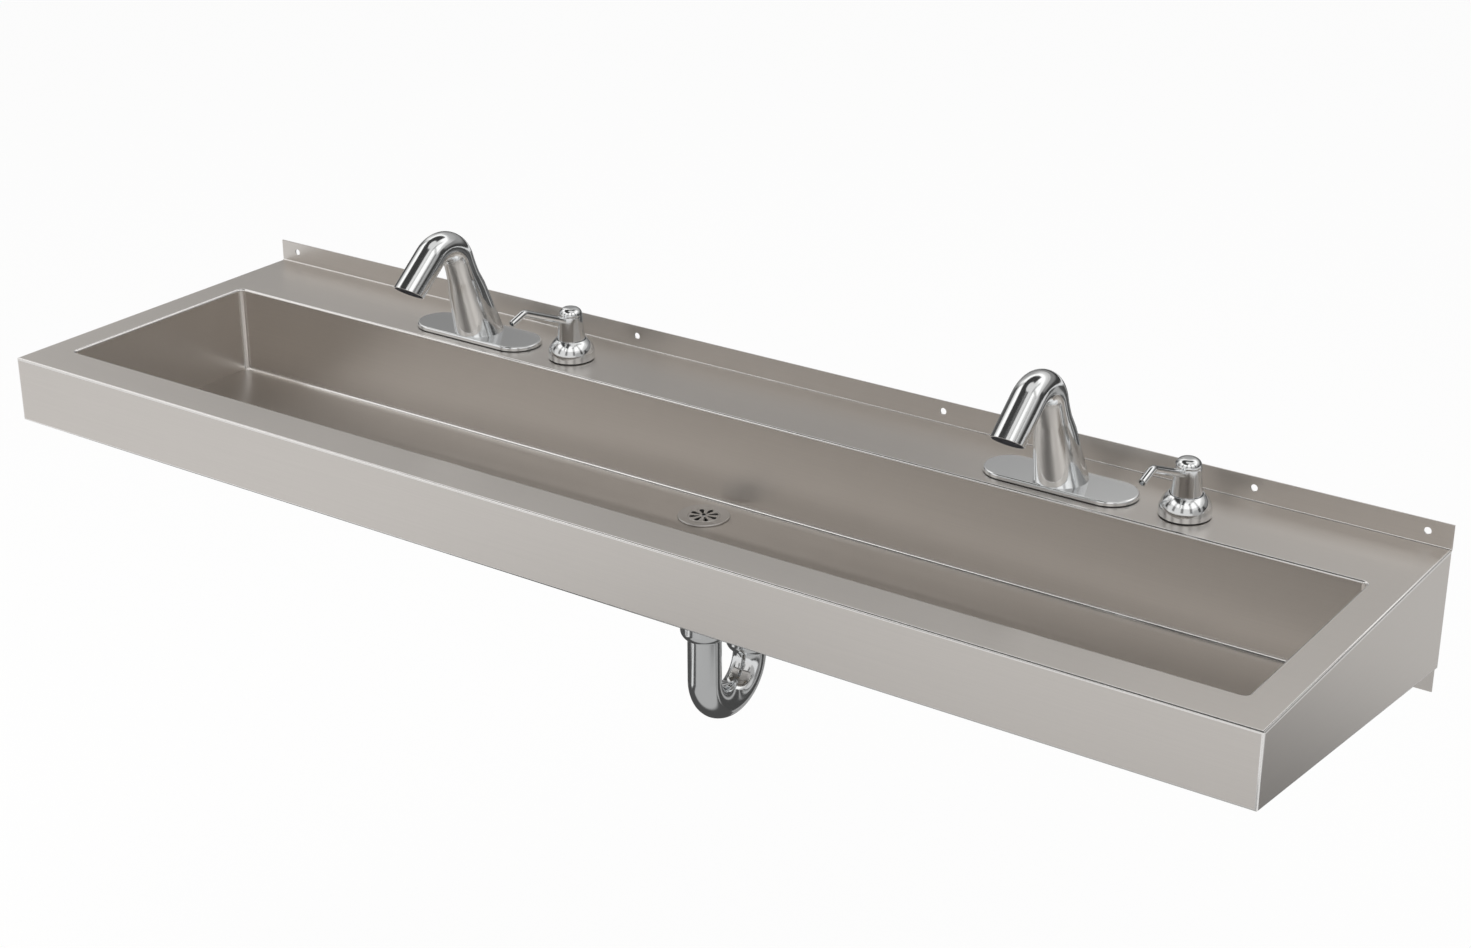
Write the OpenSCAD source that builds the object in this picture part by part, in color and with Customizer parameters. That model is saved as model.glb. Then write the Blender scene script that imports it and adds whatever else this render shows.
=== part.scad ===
// Wall-hung trough sink in welded stainless sheet, with two sensor faucets, two soap pumps and a P-trap.
// Millimetres. X runs along the wall, Y = 0 is the wall, the front is at -Y, Z is up.
// The origin is on the wall, on the centre line, at the height of the wall holes.

/* [Sheet metal] */
// Length of the sink along the wall
sink_l = 1524; // [1400:1:1829]
// Depth from the wall to the front apron
sink_d = 431.8; // [410:0.1:500]
// Thickness of the sheet
sheet_t = 1.5; // [1:0.1:2]
// Outer radius of the bends
bend_r = 2.5; // [2.3:0.1:4]
// Height of the front apron
apron_h = 76.2; // [66:0.1:100]
// Width of the return under the apron and the end panels
return_w = 12.7; // [8:0.1:20]
// Height of the end panels at the wall
end_h = 127; // [100:0.1:150]
// Height of the wall flange above the deck
flange_h = 25.4; // [22:0.1:60]
// Reach of the rear skirt below the deck
skirt_h = 152.4; // [100:0.1:180]
// Gap from an end of the skirt to the end of the sink
skirt_inset = 2.5; // [2.2:0.1:10]

/* [Wall holes] */
// Diameter of the wall holes
wall_hole_d = 7.5; // [5:0.1:10]
// Height of the wall holes above the deck
wall_hole_h = 13.7; // [10:0.1:16]
// Spacing of the inner pair of holes
inner_spacing = 406.4; // [300:0.1:500]
// Spacing of the middle pair of holes
middle_spacing = 1117.6; // [900:0.1:1200]
// Spacing of the outer pair of holes
outer_spacing = 1473.2; // [1300:0.1:1480]

/* [Basin] */
// Width of the deck at each end of the basin
basin_end = 38.1; // [25:0.1:80]
// Width of the deck in front of the basin
basin_front = 50.8; // [30:0.1:70]
// Width of the deck behind the basin
basin_rear = 114.3; // [110:0.1:130]
// Depth of the basin at its flat floor
basin_depth = 104; // [95:1:125]
// Depth of the basin at its front wall
basin_front_depth = 63; // [40:1:85]
// Width of the flat floor, front to back
flat_w = 76.2; // [74:0.1:110]
// Radius of the basin's upright corners
corner_r = 6; // [4:0.5:12]
// Radius between the walls and the floor
floor_r = 4; // [2:0.5:6]

/* [Drain] */
// Distance of the drain from the wall
drain_y = 155.5; // [150:0.5:158]
// Radius of the strainer's flange
strainer_r = 28.5; // [27:0.5:31]
// Outer radius of the strainer's threaded tube
strainer_tube_r = 20.5; // [19.5:0.5:22]
// Length of the strainer's threaded tube
strainer_len = 55; // [45:1:70]
// Radius of the grid
grid_r = 17.5; // [16.5:0.1:18]
// Thickness of the grid
grid_t = 2; // [1.5:0.1:3]
// Number of petal slots
petals = 8; // [4:4:8]
// Outer radius of the tailpiece, a 1-1/4 inch tube
tail_r = 15.88; // [15:0.01:16.2]
// Wall of the tailpiece and the trap tubes
tube_wall = 1.2; // [0.8:0.1:1.6]

/* [Trap] */
// Outer radius of the trap, a 1-1/2 inch tube
trap_r = 19.05; // [18:0.01:20]
// Centre line radius of the trap's bends
trap_bend_r = 43.8; // [41:0.1:48]
// Depth of the trap's bend centre below the deck
trap_z = 301.5; // [290:0.5:340]
// Straight inlet leg above the bend
inlet_leg = 50; // [35:1:60]
// Radius of the bells at the trap's ends
bell_r = 27; // [26:0.1:30]
// Height of the bells' curved part
bell_h = 13; // [11:0.5:16]
// Height of the bells' straight part
bell_rim_h = 20; // [6:0.5:24]
// Radius of the slip nuts' threads
thread_r = 24.5; // [23:0.1:26]
// Height of the slip nuts' threads
thread_h = 12; // [8:0.5:16]
// Reach of the trap arm behind the wall face
arm_reach = 40; // [20:1:80]
// Radius of the wall escutcheon
escutcheon_r = 38; // [30:1:45]

/* [Faucets] */
// Distance of each faucet from the centre line
faucet_x = 381; // [250:1:450]
// Distance of the fittings behind the basin's rear wall
fitting_setback = 43.3; // [41:0.1:46]
// Length of a deck plate
plate_l = 170; // [130:1:190]
// Width of a deck plate
plate_w = 60; // [58:0.5:68]
// Thickness of a deck plate
plate_t = 4.5; // [3:0.1:6]
// Thickness of the gasket under a deck plate
plate_gasket_t = 1; // [0.5:0.1:2]
// Radius of the column at its base
column_base_r = 28; // [25:0.5:29]
// Radius of the spout
spout_r = 17.6; // [16.5:0.1:19]
// Length of the column's axis up to the bend
column_len = 100; // [85:1:130]
// Forward lean of the column, in degrees
column_lean = 18; // [10:1:22]
// Centre line radius of the spout's bend
spout_bend_r = 30; // [26:0.5:40]
// Turn of the spout's bend, in degrees
spout_turn = 111.5; // [90:0.5:115]
// Straight length of the spout after the bend
spout_len = 49; // [35:1:70]
// Tilt of the spout's mouth towards the floor, in degrees
mouth_tilt = 16; // [0:1:18]
// Radius of the faucet's threaded shank
shank_r = 13.5; // [12:0.1:15]
// Reach of the faucet's shank below the deck
shank_drop = 54; // [30:1:70]
// Radius of the inlet under the shank
inlet_r = 10.4; // [9:0.1:12]
// Length of the inlet
inlet_l = 16; // [10:1:25]
// Radius of the waterway
water_r = 5; // [3:0.1:6]

/* [Soap pumps] */
// Distance of each soap pump to the right of its faucet
pump_shift = 137; // [132:1:170]
// Radius of the domed base
dome_r = 26.3; // [25:0.1:30]
// Height of the domed base above the deck
dome_h = 23.5; // [21:0.5:27]
// Radius of the head at its lower edge
head_base_r = 16; // [15:0.1:17]
// Radius of the head below its rounded top
head_top_r = 13.2; // [12:0.1:14.5]
// Height of the head's top above the deck
head_top_z = 60.5; // [57:0.5:70]
// Outer radius of the pump's spout tube
arm_r = 3.9; // [3:0.1:4.5]
// Straight length of the spout tube
arm_len = 85; // [60:1:90]
// Rise of the spout tube above the horizontal, in degrees
arm_rise = 23; // [10:1:30]
// Bend radius of the spout tube
arm_bend_r = 10; // [8:0.5:15]
// Turn of the spout tube, in degrees
arm_turn = 40; // [30:1:70]
// Length of the spout tube's tip
arm_tip = 19; // [10:1:30]
// Stroke of the pump
stroke = 14; // [8:0.5:15]
// Radius of the soap bottle
bottle_r = 37; // [25:0.5:38.5]
// Height of the soap bottle's body
bottle_h = 150; // [100:1:180]
// Wall of the soap bottle
bottle_wall = 1.5; // [1:0.1:3]

/* [Hidden] */

$fn = 64;
over = 1;
fit = 0.05;
loose = 0.3;
LEFT = -1;
RIGHT = 1;

STEEL = [0.72, 0.70, 0.67];
CHROME = [0.82, 0.83, 0.84];
RUBBER = [0.12, 0.12, 0.12];
BRASS = [0.75, 0.62, 0.36];
PLASTIC = [0.88, 0.88, 0.86];
FIBRE = [0.55, 0.45, 0.34];

// Places measured from the wall and the deck
half_l = sink_l / 2;
front_y = -sink_d;
basin_x = half_l - basin_end;
basin_y0 = front_y + basin_front;
basin_y1 = -basin_rear;
crease_y = basin_y1 - flat_w;
slope_a = atan((basin_depth - basin_front_depth) / (crease_y - basin_y0));
end_slope_a = atan((end_h - apron_h) / sink_d);
fitting_y = basin_y1 + fitting_setback;
wall_holes = [inner_spacing, middle_spacing, outer_spacing];

// Where a straight bar meets its bend, a short cone leads in from just inside the bend
seam_l = 0.8;
seam_r = 0.02;

// Drain sizes, downwards from the floor of the basin
drain_gasket_t = 5;
drain_washer_t = 1.2;
drain_nut_t = 8;
drain_nut_w = 8;
drain_hole_clear = 1.5;
strainer_flange_t = 2;
strainer_dish = 0.6;
strainer_ring_r = strainer_tube_r + drain_nut_w;
strainer_bore_r = tail_r + fit;
grid_top = strainer_flange_t - strainer_dish;
grid_seat_r = grid_r + 2 * fit;
tail_engage = 15;
bar_w = 4;
hub_r = 4.2;
bar_h = 7;
screw_r = 2;
screw_head_r = 3.6;
screw_head_t = 1;
screw_socket_r = 2.5;
screw_socket_d = 0.8;
petal_in_r = 5.6;
petal_out_r = 13.3;
petal_in_w = 0.8;
petal_out_w = 2.7;

// Trap heights, measured from the deck
bell_round = 12;
slip_washer_t = 4;
slip_lip_t = 3;
slip_nut_w = 8;
slip_nut_r = thread_r + slip_nut_w;
tail_dip = 25;
arm_rise_len = 12;
bend_z = -trap_z;
socket_floor = bell_h / 2;
socket_h = bell_h + bell_rim_h + thread_h;
inlet_bell_z = bend_z + inlet_leg;
inlet_top = inlet_bell_z + socket_h;
outlet_top = bend_z + socket_h;
trap_bore_r = trap_r - tube_wall;
tail_bore_r = tail_r - tube_wall;
tail_top = -basin_depth - strainer_len + tail_engage;
tail_bottom = inlet_top - thread_h - tail_dip;
outlet_y = -drain_y + 2 * trap_bend_r;
arm_bend_z = outlet_top + slip_washer_t + slip_lip_t + arm_rise_len;
arm_z = arm_bend_z + trap_bend_r;
groove_l = 1;
groove_d = 0.3;
escutcheon_d = 12;
escutcheon_t = 2;

// Faucet sizes
plate_z = plate_gasket_t + plate_t;
plate_edge_r = plate_t / 2;
plate_gasket_in = 2;
column_foot = 20;
column_blend = 25;
blend_steps = 5;
shank_socket_h = 12;
faucet_hole_clear = 3;
faucet_washer_w = 9;
faucet_washer_t = 3;
faucet_nut_w = 7;
faucet_nut_t = 9;
mouth_wall = 1.2;
mouth_r = spout_r - mouth_wall;
mouth_depth = 3;
aerator_r = 8.5;
aerator_len = 8;
aerator_proud = 1;
aerator_off = -3;
aerator_wall = 1.6;
aerator_ribs = 5;
aerator_rib_w = 0.8;
aerator_bore_depth = mouth_depth + aerator_len - aerator_proud;
lens_r = 3.4;
lens_t = 3.5;
lens_rim = 2;
lens_off = mouth_r - lens_r - lens_rim;

// Soap pump sizes, measured from the deck
pump_gasket_t = 1;
pump_gasket_in = 2;
dome_straight = 5;
dome_floor_t = 4;
dome_lip = 1;
dome_edge = 0.5;
dome_steps = 10;
dome_floor_z = pump_gasket_t + dome_floor_t;
dome_bore_r = head_base_r + 2 * loose;
soap_shank_r = 13;
soap_shank_drop = 55;
soap_hole_clear = 2;
soap_nut_w = 8;
soap_nut_t = 7;
cylinder_r = 10.4;
cylinder_wall = 2.2;
cylinder_drop = 82;
cylinder_floor = 3;
cylinder_bore_r = cylinder_r - cylinder_wall;
cylinder_bottom = dome_floor_z - cylinder_drop;
cap_r = 12.4;
cap_t = 2;
cap_plug = 5;
stem_r = 3.4;
stem_bore_r = 1.4;
stem_top = 38;
piston_t = 6;
piston_bottom = dome_floor_z - cap_plug - piston_t - loose;
dip_r = 3;
dip_bore_r = 2;
dip_gap = 6;
nipple_h = 8;
head_overlap = 2.5;
head_edge = 0.5;
head_round_r = 8.5;
head_taper_stop = 9;
head_bottom = dome_h - head_overlap;
head_cavity_r = cap_r + 2 * loose;
head_cavity_h = max(loose, dome_floor_z + cap_t + loose - (head_bottom - stroke)) + cap_t;
arm_root_z = 42.7;
arm_wall = 1.2;
arm_bore_r = arm_r - arm_wall;
neck_wall = 3;
neck_h = 15;
shoulder_h = 18;
neck_r = soap_shank_r + neck_wall;
bottle_top = -soap_shank_drop;
bottle_neck_z = bottle_top + neck_h;
bottle_bottom = bottle_top - shoulder_h - bottle_h;
dip_bottom = bottle_bottom + bottle_wall + dip_gap;
spring_r = 6;
spring_wire_r = 0.55;
spring_turns = 6;
spring_steps = 16;
spring_sides = 6;
spring_bottom = cylinder_bottom + cylinder_floor;
spring_h = piston_bottom - spring_bottom;

// Rectangle from one corner to the other, with the corners named in the list rounded
module round_rect(x0, x1, y0, y1, r, front_left, front_right, rear_left, rear_right) {
    difference() {
        translate([x0, y0])
            square([x1 - x0, y1 - y0]);
        if (front_left) translate([x0, y0]) corner_waste(r, 0);
        if (front_right) translate([x1, y0]) corner_waste(r, 90);
        if (rear_right) translate([x1, y1]) corner_waste(r, 180);
        if (rear_left) translate([x0, y1]) corner_waste(r, 270);
    }
}

// What a rounded corner takes off a square one
module corner_waste(r, turn) {
    rotate(turn)
        difference() {
            translate([-over, -over])
                square([r + over, r + over]);
            translate([r, r])
                circle(r);
        }
}

// A drawing in (Y, Z) pulled along X, centred
module along_x(length) {
    rotate([90, 0, 90])
        linear_extrude(length, center = true)
            children();
}

// A drawing in (X, Z) pulled along Y between two places
module along_y(y0, y1) {
    translate([0, y1, 0])
        rotate([90, 0, 0])
            linear_extrude(y1 - y0)
                children();
}

// Everything is drawn from the deck's top and hung from the wall holes
module on_wall() {
    translate([0, 0, -wall_hole_h])
        children();
}

module ring(r_out, r_in, h) {
    difference() {
        cylinder(h = h, r = r_out);
        translate([0, 0, -over])
            cylinder(h = h + 2 * over, r = r_in);
    }
}

module hex_nut(r_out, r_in, h) {
    difference() {
        cylinder(h = h, r = r_out, $fn = 6);
        translate([0, 0, -over])
            cylinder(h = h + 2 * over, r = r_in);
    }
}

// A round bar that goes up, bends towards -Y and goes on straight
module bent_bar(r, len_in, bend, turn, len_out) {
    cylinder(h = len_in, r = r + seam_r);
    translate([0, 0, len_in])
        cylinder(h = seam_l, r1 = r + seam_r, r2 = r - 3 * seam_r);
    bar_bend(r, len_in, bend, turn);
    bar_end(len_in, bend, turn)
        led_bar(r, len_out);
}

// A straight bar with its lead-in
module led_bar(r, length) {
    translate([0, 0, -seam_l])
        cylinder(h = seam_l, r1 = r - 3 * seam_r, r2 = r + seam_r);
    cylinder(h = length, r = r + seam_r);
}

module bar_bend(r, len_in, bend, turn) {
    translate([0, -bend, len_in])
        rotate([90, 0, 90])
            rotate_extrude(angle = turn)
                translate([bend, 0])
                    circle(r);
}

// The place where such a bar leaves its bend, with Z along the bar
module bar_end(len_in, bend, turn) {
    translate([0, -bend, len_in])
        rotate([turn, 0, 0])
            translate([0, bend, 0])
                children();
}

// Folded block, inset by g on every face but the rear one
module folded_block(g) {
    r = bend_r - g;
    low = -apron_h + g;
    rear = -bend_r + g;
    intersection() {
        along_x(sink_l - 2 * g)
            round_rect(front_y + g, rear, low, -g, r, true, false, true, false);
        along_y(front_y, rear)
            round_rect(-half_l + g, half_l - g, low, -g, r, true, true, true, true);
        translate([0, 0, low])
            linear_extrude(apron_h)
                round_rect(-half_l + g, half_l - g, front_y + g, rear, r, true, true, false, false);
    }
}

// Plan of the basin's opening, grown by g
module basin_plan(g) {
    round_rect(-basin_x - g, basin_x + g, basin_y0 - g, basin_y1 + g, corner_r + g, true, true, true, true);
}

// Section of the rim, from the deck down to the basin wall, at distance 0 from the wall's face
module rim_section() {
    translate([bend_r, -bend_r])
        intersection() {
            difference() {
                circle(bend_r);
                circle(bend_r - sheet_t);
            }
            translate([-bend_r, 0])
                square(bend_r);
        }
}

module rim_straight(length) {
    along_y(-length / 2, length / 2)
        rim_section();
}

module rim_corner() {
    rotate_extrude(angle = 90)
        translate([corner_r, 0])
            rim_section();
}

module basin_rim() {
    cx = basin_x - corner_r;
    cy0 = basin_y0 + corner_r;
    cy1 = basin_y1 - corner_r;
    mid_y = (basin_y0 + basin_y1) / 2;
    translate([basin_x, mid_y, 0]) rim_straight(cy1 - cy0);
    translate([-basin_x, mid_y, 0]) rotate(180) rim_straight(cy1 - cy0);
    translate([0, basin_y1, 0]) rotate(90) rim_straight(2 * cx);
    translate([0, basin_y0, 0]) rotate(270) rim_straight(2 * cx);
    translate([cx, cy1, 0]) rim_corner();
    translate([-cx, cy1, 0]) rotate(90) rim_corner();
    translate([-cx, cy0, 0]) rotate(180) rim_corner();
    translate([cx, cy0, 0]) rotate(270) rim_corner();
}

// Section of the wall flange and its bend, in (Y, Z)
module flange_section() {
    translate([-sheet_t, bend_r - sheet_t])
        square([sheet_t, flange_h - bend_r + sheet_t]);
    translate([-bend_r, bend_r - sheet_t])
        intersection() {
            difference() {
                circle(bend_r);
                circle(bend_r - sheet_t);
            }
            translate([0, -bend_r])
                square(bend_r);
        }
}

module deck_and_apron() {
    color(STEEL) on_wall() {
        difference() {
            folded_block(0);
            folded_block(sheet_t);
            for (side = [LEFT, RIGHT]) end_space(side);
            open_bottom();
            translate([0, 0, -sheet_t - over])
                linear_extrude(sheet_t + 2 * over)
                    basin_plan(bend_r);
            for (side = [LEFT, RIGHT]) deck_holes(side);
        }
        basin_rim();
        difference() {
            along_x(sink_l)
                flange_section();
            for (spacing = wall_holes, side = [LEFT, RIGHT])
                translate([side * spacing / 2, 0, wall_hole_h])
                    rotate([90, 0, 0])
                        cylinder(h = 4 * sheet_t, d = wall_hole_d, center = true);
        }
    }
}

// The underside, open behind the apron's return and between the end panels
module open_bottom() {
    deep = 2 * sheet_t;
    translate([-sink_l, front_y + return_w, -apron_h - over])
        cube([2 * sink_l, sink_d, deep + over]);
    for (side = [LEFT, RIGHT])
        translate([side * half_l, front_y + bend_r + sink_d / 2, -apron_h])
            cube([2 * return_w + 2 * sheet_t, sink_d, 2 * deep], center = true);
}

// The space that an end panel fills below the deck's bend
module end_space(side) {
    translate([side * half_l, front_y / 2 + bend_r / 2, -bend_r - apron_h / 2])
        cube([2 * sheet_t, sink_d - bend_r, apron_h], center = true);
}

module deck_holes(side) {
    translate([side * faucet_x, fitting_y, 0])
        cylinder(h = 4 * sheet_t, r = shank_r + faucet_hole_clear, center = true);
    translate([side * faucet_x + pump_shift, fitting_y, 0])
        cylinder(h = 4 * sheet_t, r = soap_shank_r + soap_hole_clear, center = true);
}

// Solid end, inset by g at its face, its rear and its sloping lower edge
module end_block(g) {
    x0 = half_l - return_w - g;
    x1 = half_l - g;
    y0 = front_y + bend_r;
    r = bend_r - g;
    intersection() {
        translate([0, 0, -end_h])
            linear_extrude(end_h - bend_r)
                round_rect(x0, x1, y0 - g, -g, r, false, false, false, true);
        translate([0, front_y, -apron_h])
            rotate([-end_slope_a, 0, 0])
                along_y(-sink_d, 2 * sink_d)
                    round_rect(x0, x1, g, end_h + g, r, false, true, false, false);
    }
}

module right_panel() {
    color(STEEL) on_wall()
        difference() {
            end_block(0);
            end_block(sheet_t);
            translate([half_l - return_w - 2 * sheet_t, front_y, -2 * bend_r])
                cube([return_w + sheet_t, sink_d - sheet_t, 2 * bend_r]);
            skirt_notch();
        }
}

// Where the rear skirt passes down through the panel's return
module skirt_notch() {
    x0 = half_l - return_w - over;
    translate([x0, -2 * sheet_t - loose, -end_h - over])
        cube([half_l - skirt_inset - x0, sheet_t + loose, 3 * sheet_t + over]);
}

module left_end_panel() {
    mirror([1, 0, 0])
        right_panel();
}

module right_end_panel() {
    right_panel();
}

// Basin's section in (Y, Z), grown by g, with rounded floor corners
module basin_section(g) {
    r = floor_r + g;
    y0 = basin_y0 - g;
    y1 = basin_y1 + g;
    floor_z = -basin_depth - g;
    bend_y = crease_y - g * tan(slope_a / 2);
    front_z = floor_z + (bend_y - y0) * tan(slope_a);
    round_z = floor_z + (bend_y - y0 - r) * tan(slope_a) + r / cos(slope_a);
    difference() {
        polygon([[y0, over], [y1, over], [y1, floor_z], [bend_y, floor_z], [y0, front_z]]);
        translate([y1, floor_z])
            corner_waste(r, 90);
        difference() {
            polygon([
                [y0 - over, round_z],
                [y0 + r, round_z],
                [y0 + r - r * sin(slope_a), round_z - r * cos(slope_a)],
                [y0 + r - (r + over) * sin(slope_a), round_z - (r + over) * cos(slope_a)],
                [y0 - over, front_z - over]
            ]);
            translate([y0 + r, round_z])
                circle(r);
        }
    }
}

module basin_block(g, top) {
    intersection() {
        along_x(sink_l)
            basin_section(g);
        translate([0, 0, -basin_depth - g - over])
            linear_extrude(basin_depth + g + over + top)
                basin_plan(g);
    }
}

module basin() {
    color(STEEL) on_wall()
        difference() {
            basin_block(sheet_t, -bend_r);
            basin_block(0, over);
            translate([0, -drain_y, -basin_depth - sheet_t - over])
                cylinder(h = sheet_t + 2 * over, r = strainer_tube_r + drain_hole_clear);
        }
}

module rear_skirt() {
    length = sink_l - 2 * skirt_inset;
    color(STEEL) on_wall() {
        translate([0, -3 / 2 * sheet_t, -(skirt_h + sheet_t) / 2])
            cube([length, sheet_t, skirt_h - sheet_t], center = true);
        translate([0, -sheet_t - return_w / 2, -3 / 2 * sheet_t])
            cube([length, return_w, sheet_t], center = true);
    }
}

// Places pieces at the drain, with Z = 0 on the top of the basin's floor
module at_drain() {
    on_wall()
        translate([0, -drain_y, -basin_depth])
            children();
}

module strainer_body() {
    color(CHROME) at_drain()
        difference() {
            union() {
                difference() {
                    translate([0, 0, -strainer_len])
                        cylinder(h = strainer_len, r = strainer_tube_r);
                    translate([0, 0, -strainer_len - over])
                        cylinder(h = strainer_len + 2 * over, r = strainer_bore_r);
                }
                difference() {
                    strainer_flange();
                    translate([0, 0, -over])
                        cylinder(h = strainer_flange_t + 2 * over, r = strainer_bore_r);
                }
                intersection() {
                    translate([0, 0, grid_top - grid_t - bar_h / 2])
                        rotate(180 / petals) {
                            cube([2 * strainer_tube_r, bar_w, bar_h], center = true);
                            cube([bar_w, 2 * strainer_tube_r, bar_h], center = true);
                            cylinder(h = bar_h, r = hub_r, center = true);
                        }
                    translate([0, 0, -strainer_len])
                        cylinder(h = strainer_len + strainer_flange_t, r = strainer_tube_r - over);
                }
            }
            translate([0, 0, grid_top - grid_t])
                cylinder(h = grid_t + strainer_dish + over, r = grid_seat_r);
            translate([0, 0, grid_top - grid_t - bar_h - over])
                cylinder(h = bar_h + 2 * over, r = screw_r + fit);
        }
}

// Flange with a rounded edge that falls gently towards the grid
module strainer_flange() {
    edge = strainer_flange_t / 2;
    rotate_extrude() {
        polygon([
            [0, 0],
            [strainer_r - edge, 0],
            [strainer_r - edge, strainer_flange_t],
            [strainer_r - 3 * edge, strainer_flange_t],
            [grid_seat_r, grid_top],
            [0, grid_top]
        ]);
        translate([strainer_r - edge, edge])
            circle(edge);
    }
}

// One slot, wider at its outer end
module petal() {
    translate([petal_in_r, 0])
        circle(petal_in_w);
    translate([petal_out_r, 0])
        circle(petal_out_w);
    polygon([
        [petal_in_r, -petal_in_w],
        [petal_out_r, -petal_out_w],
        [petal_out_r, petal_out_w],
        [petal_in_r, petal_in_w]
    ]);
}

module strainer_grid() {
    color(CHROME) at_drain()
        translate([0, 0, grid_top - grid_t])
            difference() {
                cylinder(h = grid_t, r = grid_r);
                translate([0, 0, -over])
                    linear_extrude(grid_t + 2 * over) {
                        for (i = [0 : petals - 1])
                            rotate(i * 360 / petals)
                                petal();
                        circle(screw_r + fit);
                    }
            }
}

module strainer_screw() {
    color(CHROME) at_drain()
        difference() {
            union() {
                translate([0, 0, grid_top])
                    cylinder(h = screw_head_t, r1 = screw_head_r, r2 = screw_head_r - screw_head_t / 2);
                translate([0, 0, grid_top - grid_t - bar_h])
                    cylinder(h = grid_t + bar_h + screw_head_t / 2, r = screw_r);
            }
            translate([0, 0, grid_top + screw_head_t - screw_socket_d])
                cylinder(h = screw_socket_d + over, r = screw_socket_r, $fn = 6);
        }
}

module drain_gasket() {
    color(RUBBER) at_drain()
        translate([0, 0, -sheet_t - drain_gasket_t])
            ring(strainer_ring_r, strainer_tube_r + fit, drain_gasket_t);
}

module drain_washer() {
    color(FIBRE) at_drain()
        translate([0, 0, -sheet_t - drain_gasket_t - drain_washer_t])
            ring(strainer_ring_r, strainer_tube_r + fit, drain_washer_t);
}

module drain_locknut() {
    color(BRASS) at_drain()
        translate([0, 0, -sheet_t - drain_gasket_t - drain_washer_t - drain_nut_t])
            hex_nut(strainer_ring_r, strainer_tube_r + fit, drain_nut_t);
}

module tailpiece() {
    color(CHROME) on_wall()
        translate([0, -drain_y, tail_bottom])
            ring(tail_r, tail_bore_r, tail_top - tail_bottom);
}

// Bell and thread on an end of the trap, growing upwards
module trap_socket() {
    rim_z = bell_h + bell_rim_h;
    rotate_extrude() {
        difference() {
            square([bell_r, rim_z]);
            difference() {
                translate([trap_r, -over])
                    square([bell_r, bell_h + over]);
                translate([bell_r - bell_round, bell_h])
                    circle(bell_round);
            }
        }
        translate([0, rim_z - over])
            square([thread_r, thread_h + over]);
    }
}

module trap_j_bend() {
    color(CHROME) on_wall()
        translate([0, -drain_y, 0])
            difference() {
                union() {
                    translate([0, 0, inlet_bell_z])
                        rotate([180, 0, 0])
                            bent_bar(trap_r, inlet_leg, trap_bend_r, 180, over);
                    translate([0, 0, inlet_bell_z])
                        trap_socket();
                    translate([0, 2 * trap_bend_r, bend_z])
                        trap_socket();
                }
                translate([0, 0, inlet_bell_z])
                    rotate([180, 0, 0])
                        bent_bar(trap_bore_r, inlet_leg, trap_bend_r, 180, bell_h);
                translate([0, 0, inlet_bell_z - over])
                    cylinder(h = socket_h + 2 * over, r = trap_bore_r);
                translate([0, 2 * trap_bend_r, bend_z + socket_floor])
                    cylinder(h = socket_h, r = trap_r + fit);
            }
}

module slip_nut(tube_r) {
    difference() {
        hex_nut(slip_nut_r, tube_r + loose, thread_h + slip_washer_t + slip_lip_t);
        translate([0, 0, -over])
            cylinder(h = thread_h + slip_washer_t + over, r = thread_r + fit);
    }
}

module trap_inlet_nut() {
    color(CHROME) on_wall()
        translate([0, -drain_y, inlet_top - thread_h])
            slip_nut(tail_r);
}

module trap_inlet_washer() {
    color(RUBBER) on_wall()
        translate([0, -drain_y, inlet_top])
            ring(thread_r - loose, tail_r + fit, slip_washer_t);
}

module trap_outlet_nut() {
    color(CHROME) on_wall()
        translate([0, outlet_y, outlet_top - thread_h])
            slip_nut(trap_r);
}

module trap_outlet_washer() {
    color(RUBBER) on_wall()
        translate([0, outlet_y, outlet_top])
            ring(thread_r - loose, trap_r + fit, slip_washer_t);
}

module trap_arm() {
    start = bend_z + socket_floor + loose;
    rise = arm_bend_z - start;
    run = -outlet_y - trap_bend_r - groove_l;
    color(CHROME) on_wall()
        translate([0, outlet_y, start])
            rotate(180)
                difference() {
                    union() {
                        bent_bar(trap_r, rise, trap_bend_r, 90, run);
                        bar_end(rise, trap_bend_r, 90)
                            translate([0, 0, run])
                                cylinder(h = groove_l + arm_reach, r = trap_r - groove_d);
                        bar_end(rise, trap_bend_r, 90)
                            translate([0, 0, run + groove_l])
                                cylinder(h = arm_reach, r = trap_r);
                    }
                    translate([0, 0, -over])
                        bent_bar(trap_bore_r, rise + over, trap_bend_r, 90, run + groove_l + arm_reach + over);
                }
}

module wall_escutcheon() {
    color(CHROME) on_wall()
        translate([0, 0, arm_z])
            rotate([90, 0, 0])
                rotate_extrude()
                    polygon([
                        [trap_r + loose, escutcheon_d],
                        [trap_r + loose, escutcheon_d - escutcheon_t],
                        [escutcheon_r - escutcheon_t, 0],
                        [escutcheon_r, 0],
                        [escutcheon_r, escutcheon_t / 2],
                        [trap_r + loose + escutcheon_t, escutcheon_d]
                    ]);
}

// Places pieces at a faucet, with Z = 0 on the deck
module at_faucet(side) {
    on_wall()
        translate([side * faucet_x, fitting_y, 0])
            children();
}

module stadium(length, width) {
    run = length - width;
    square([run, width], center = true);
    for (side = [LEFT, RIGHT])
        translate([side * run / 2, 0])
            circle(d = width);
}

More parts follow.
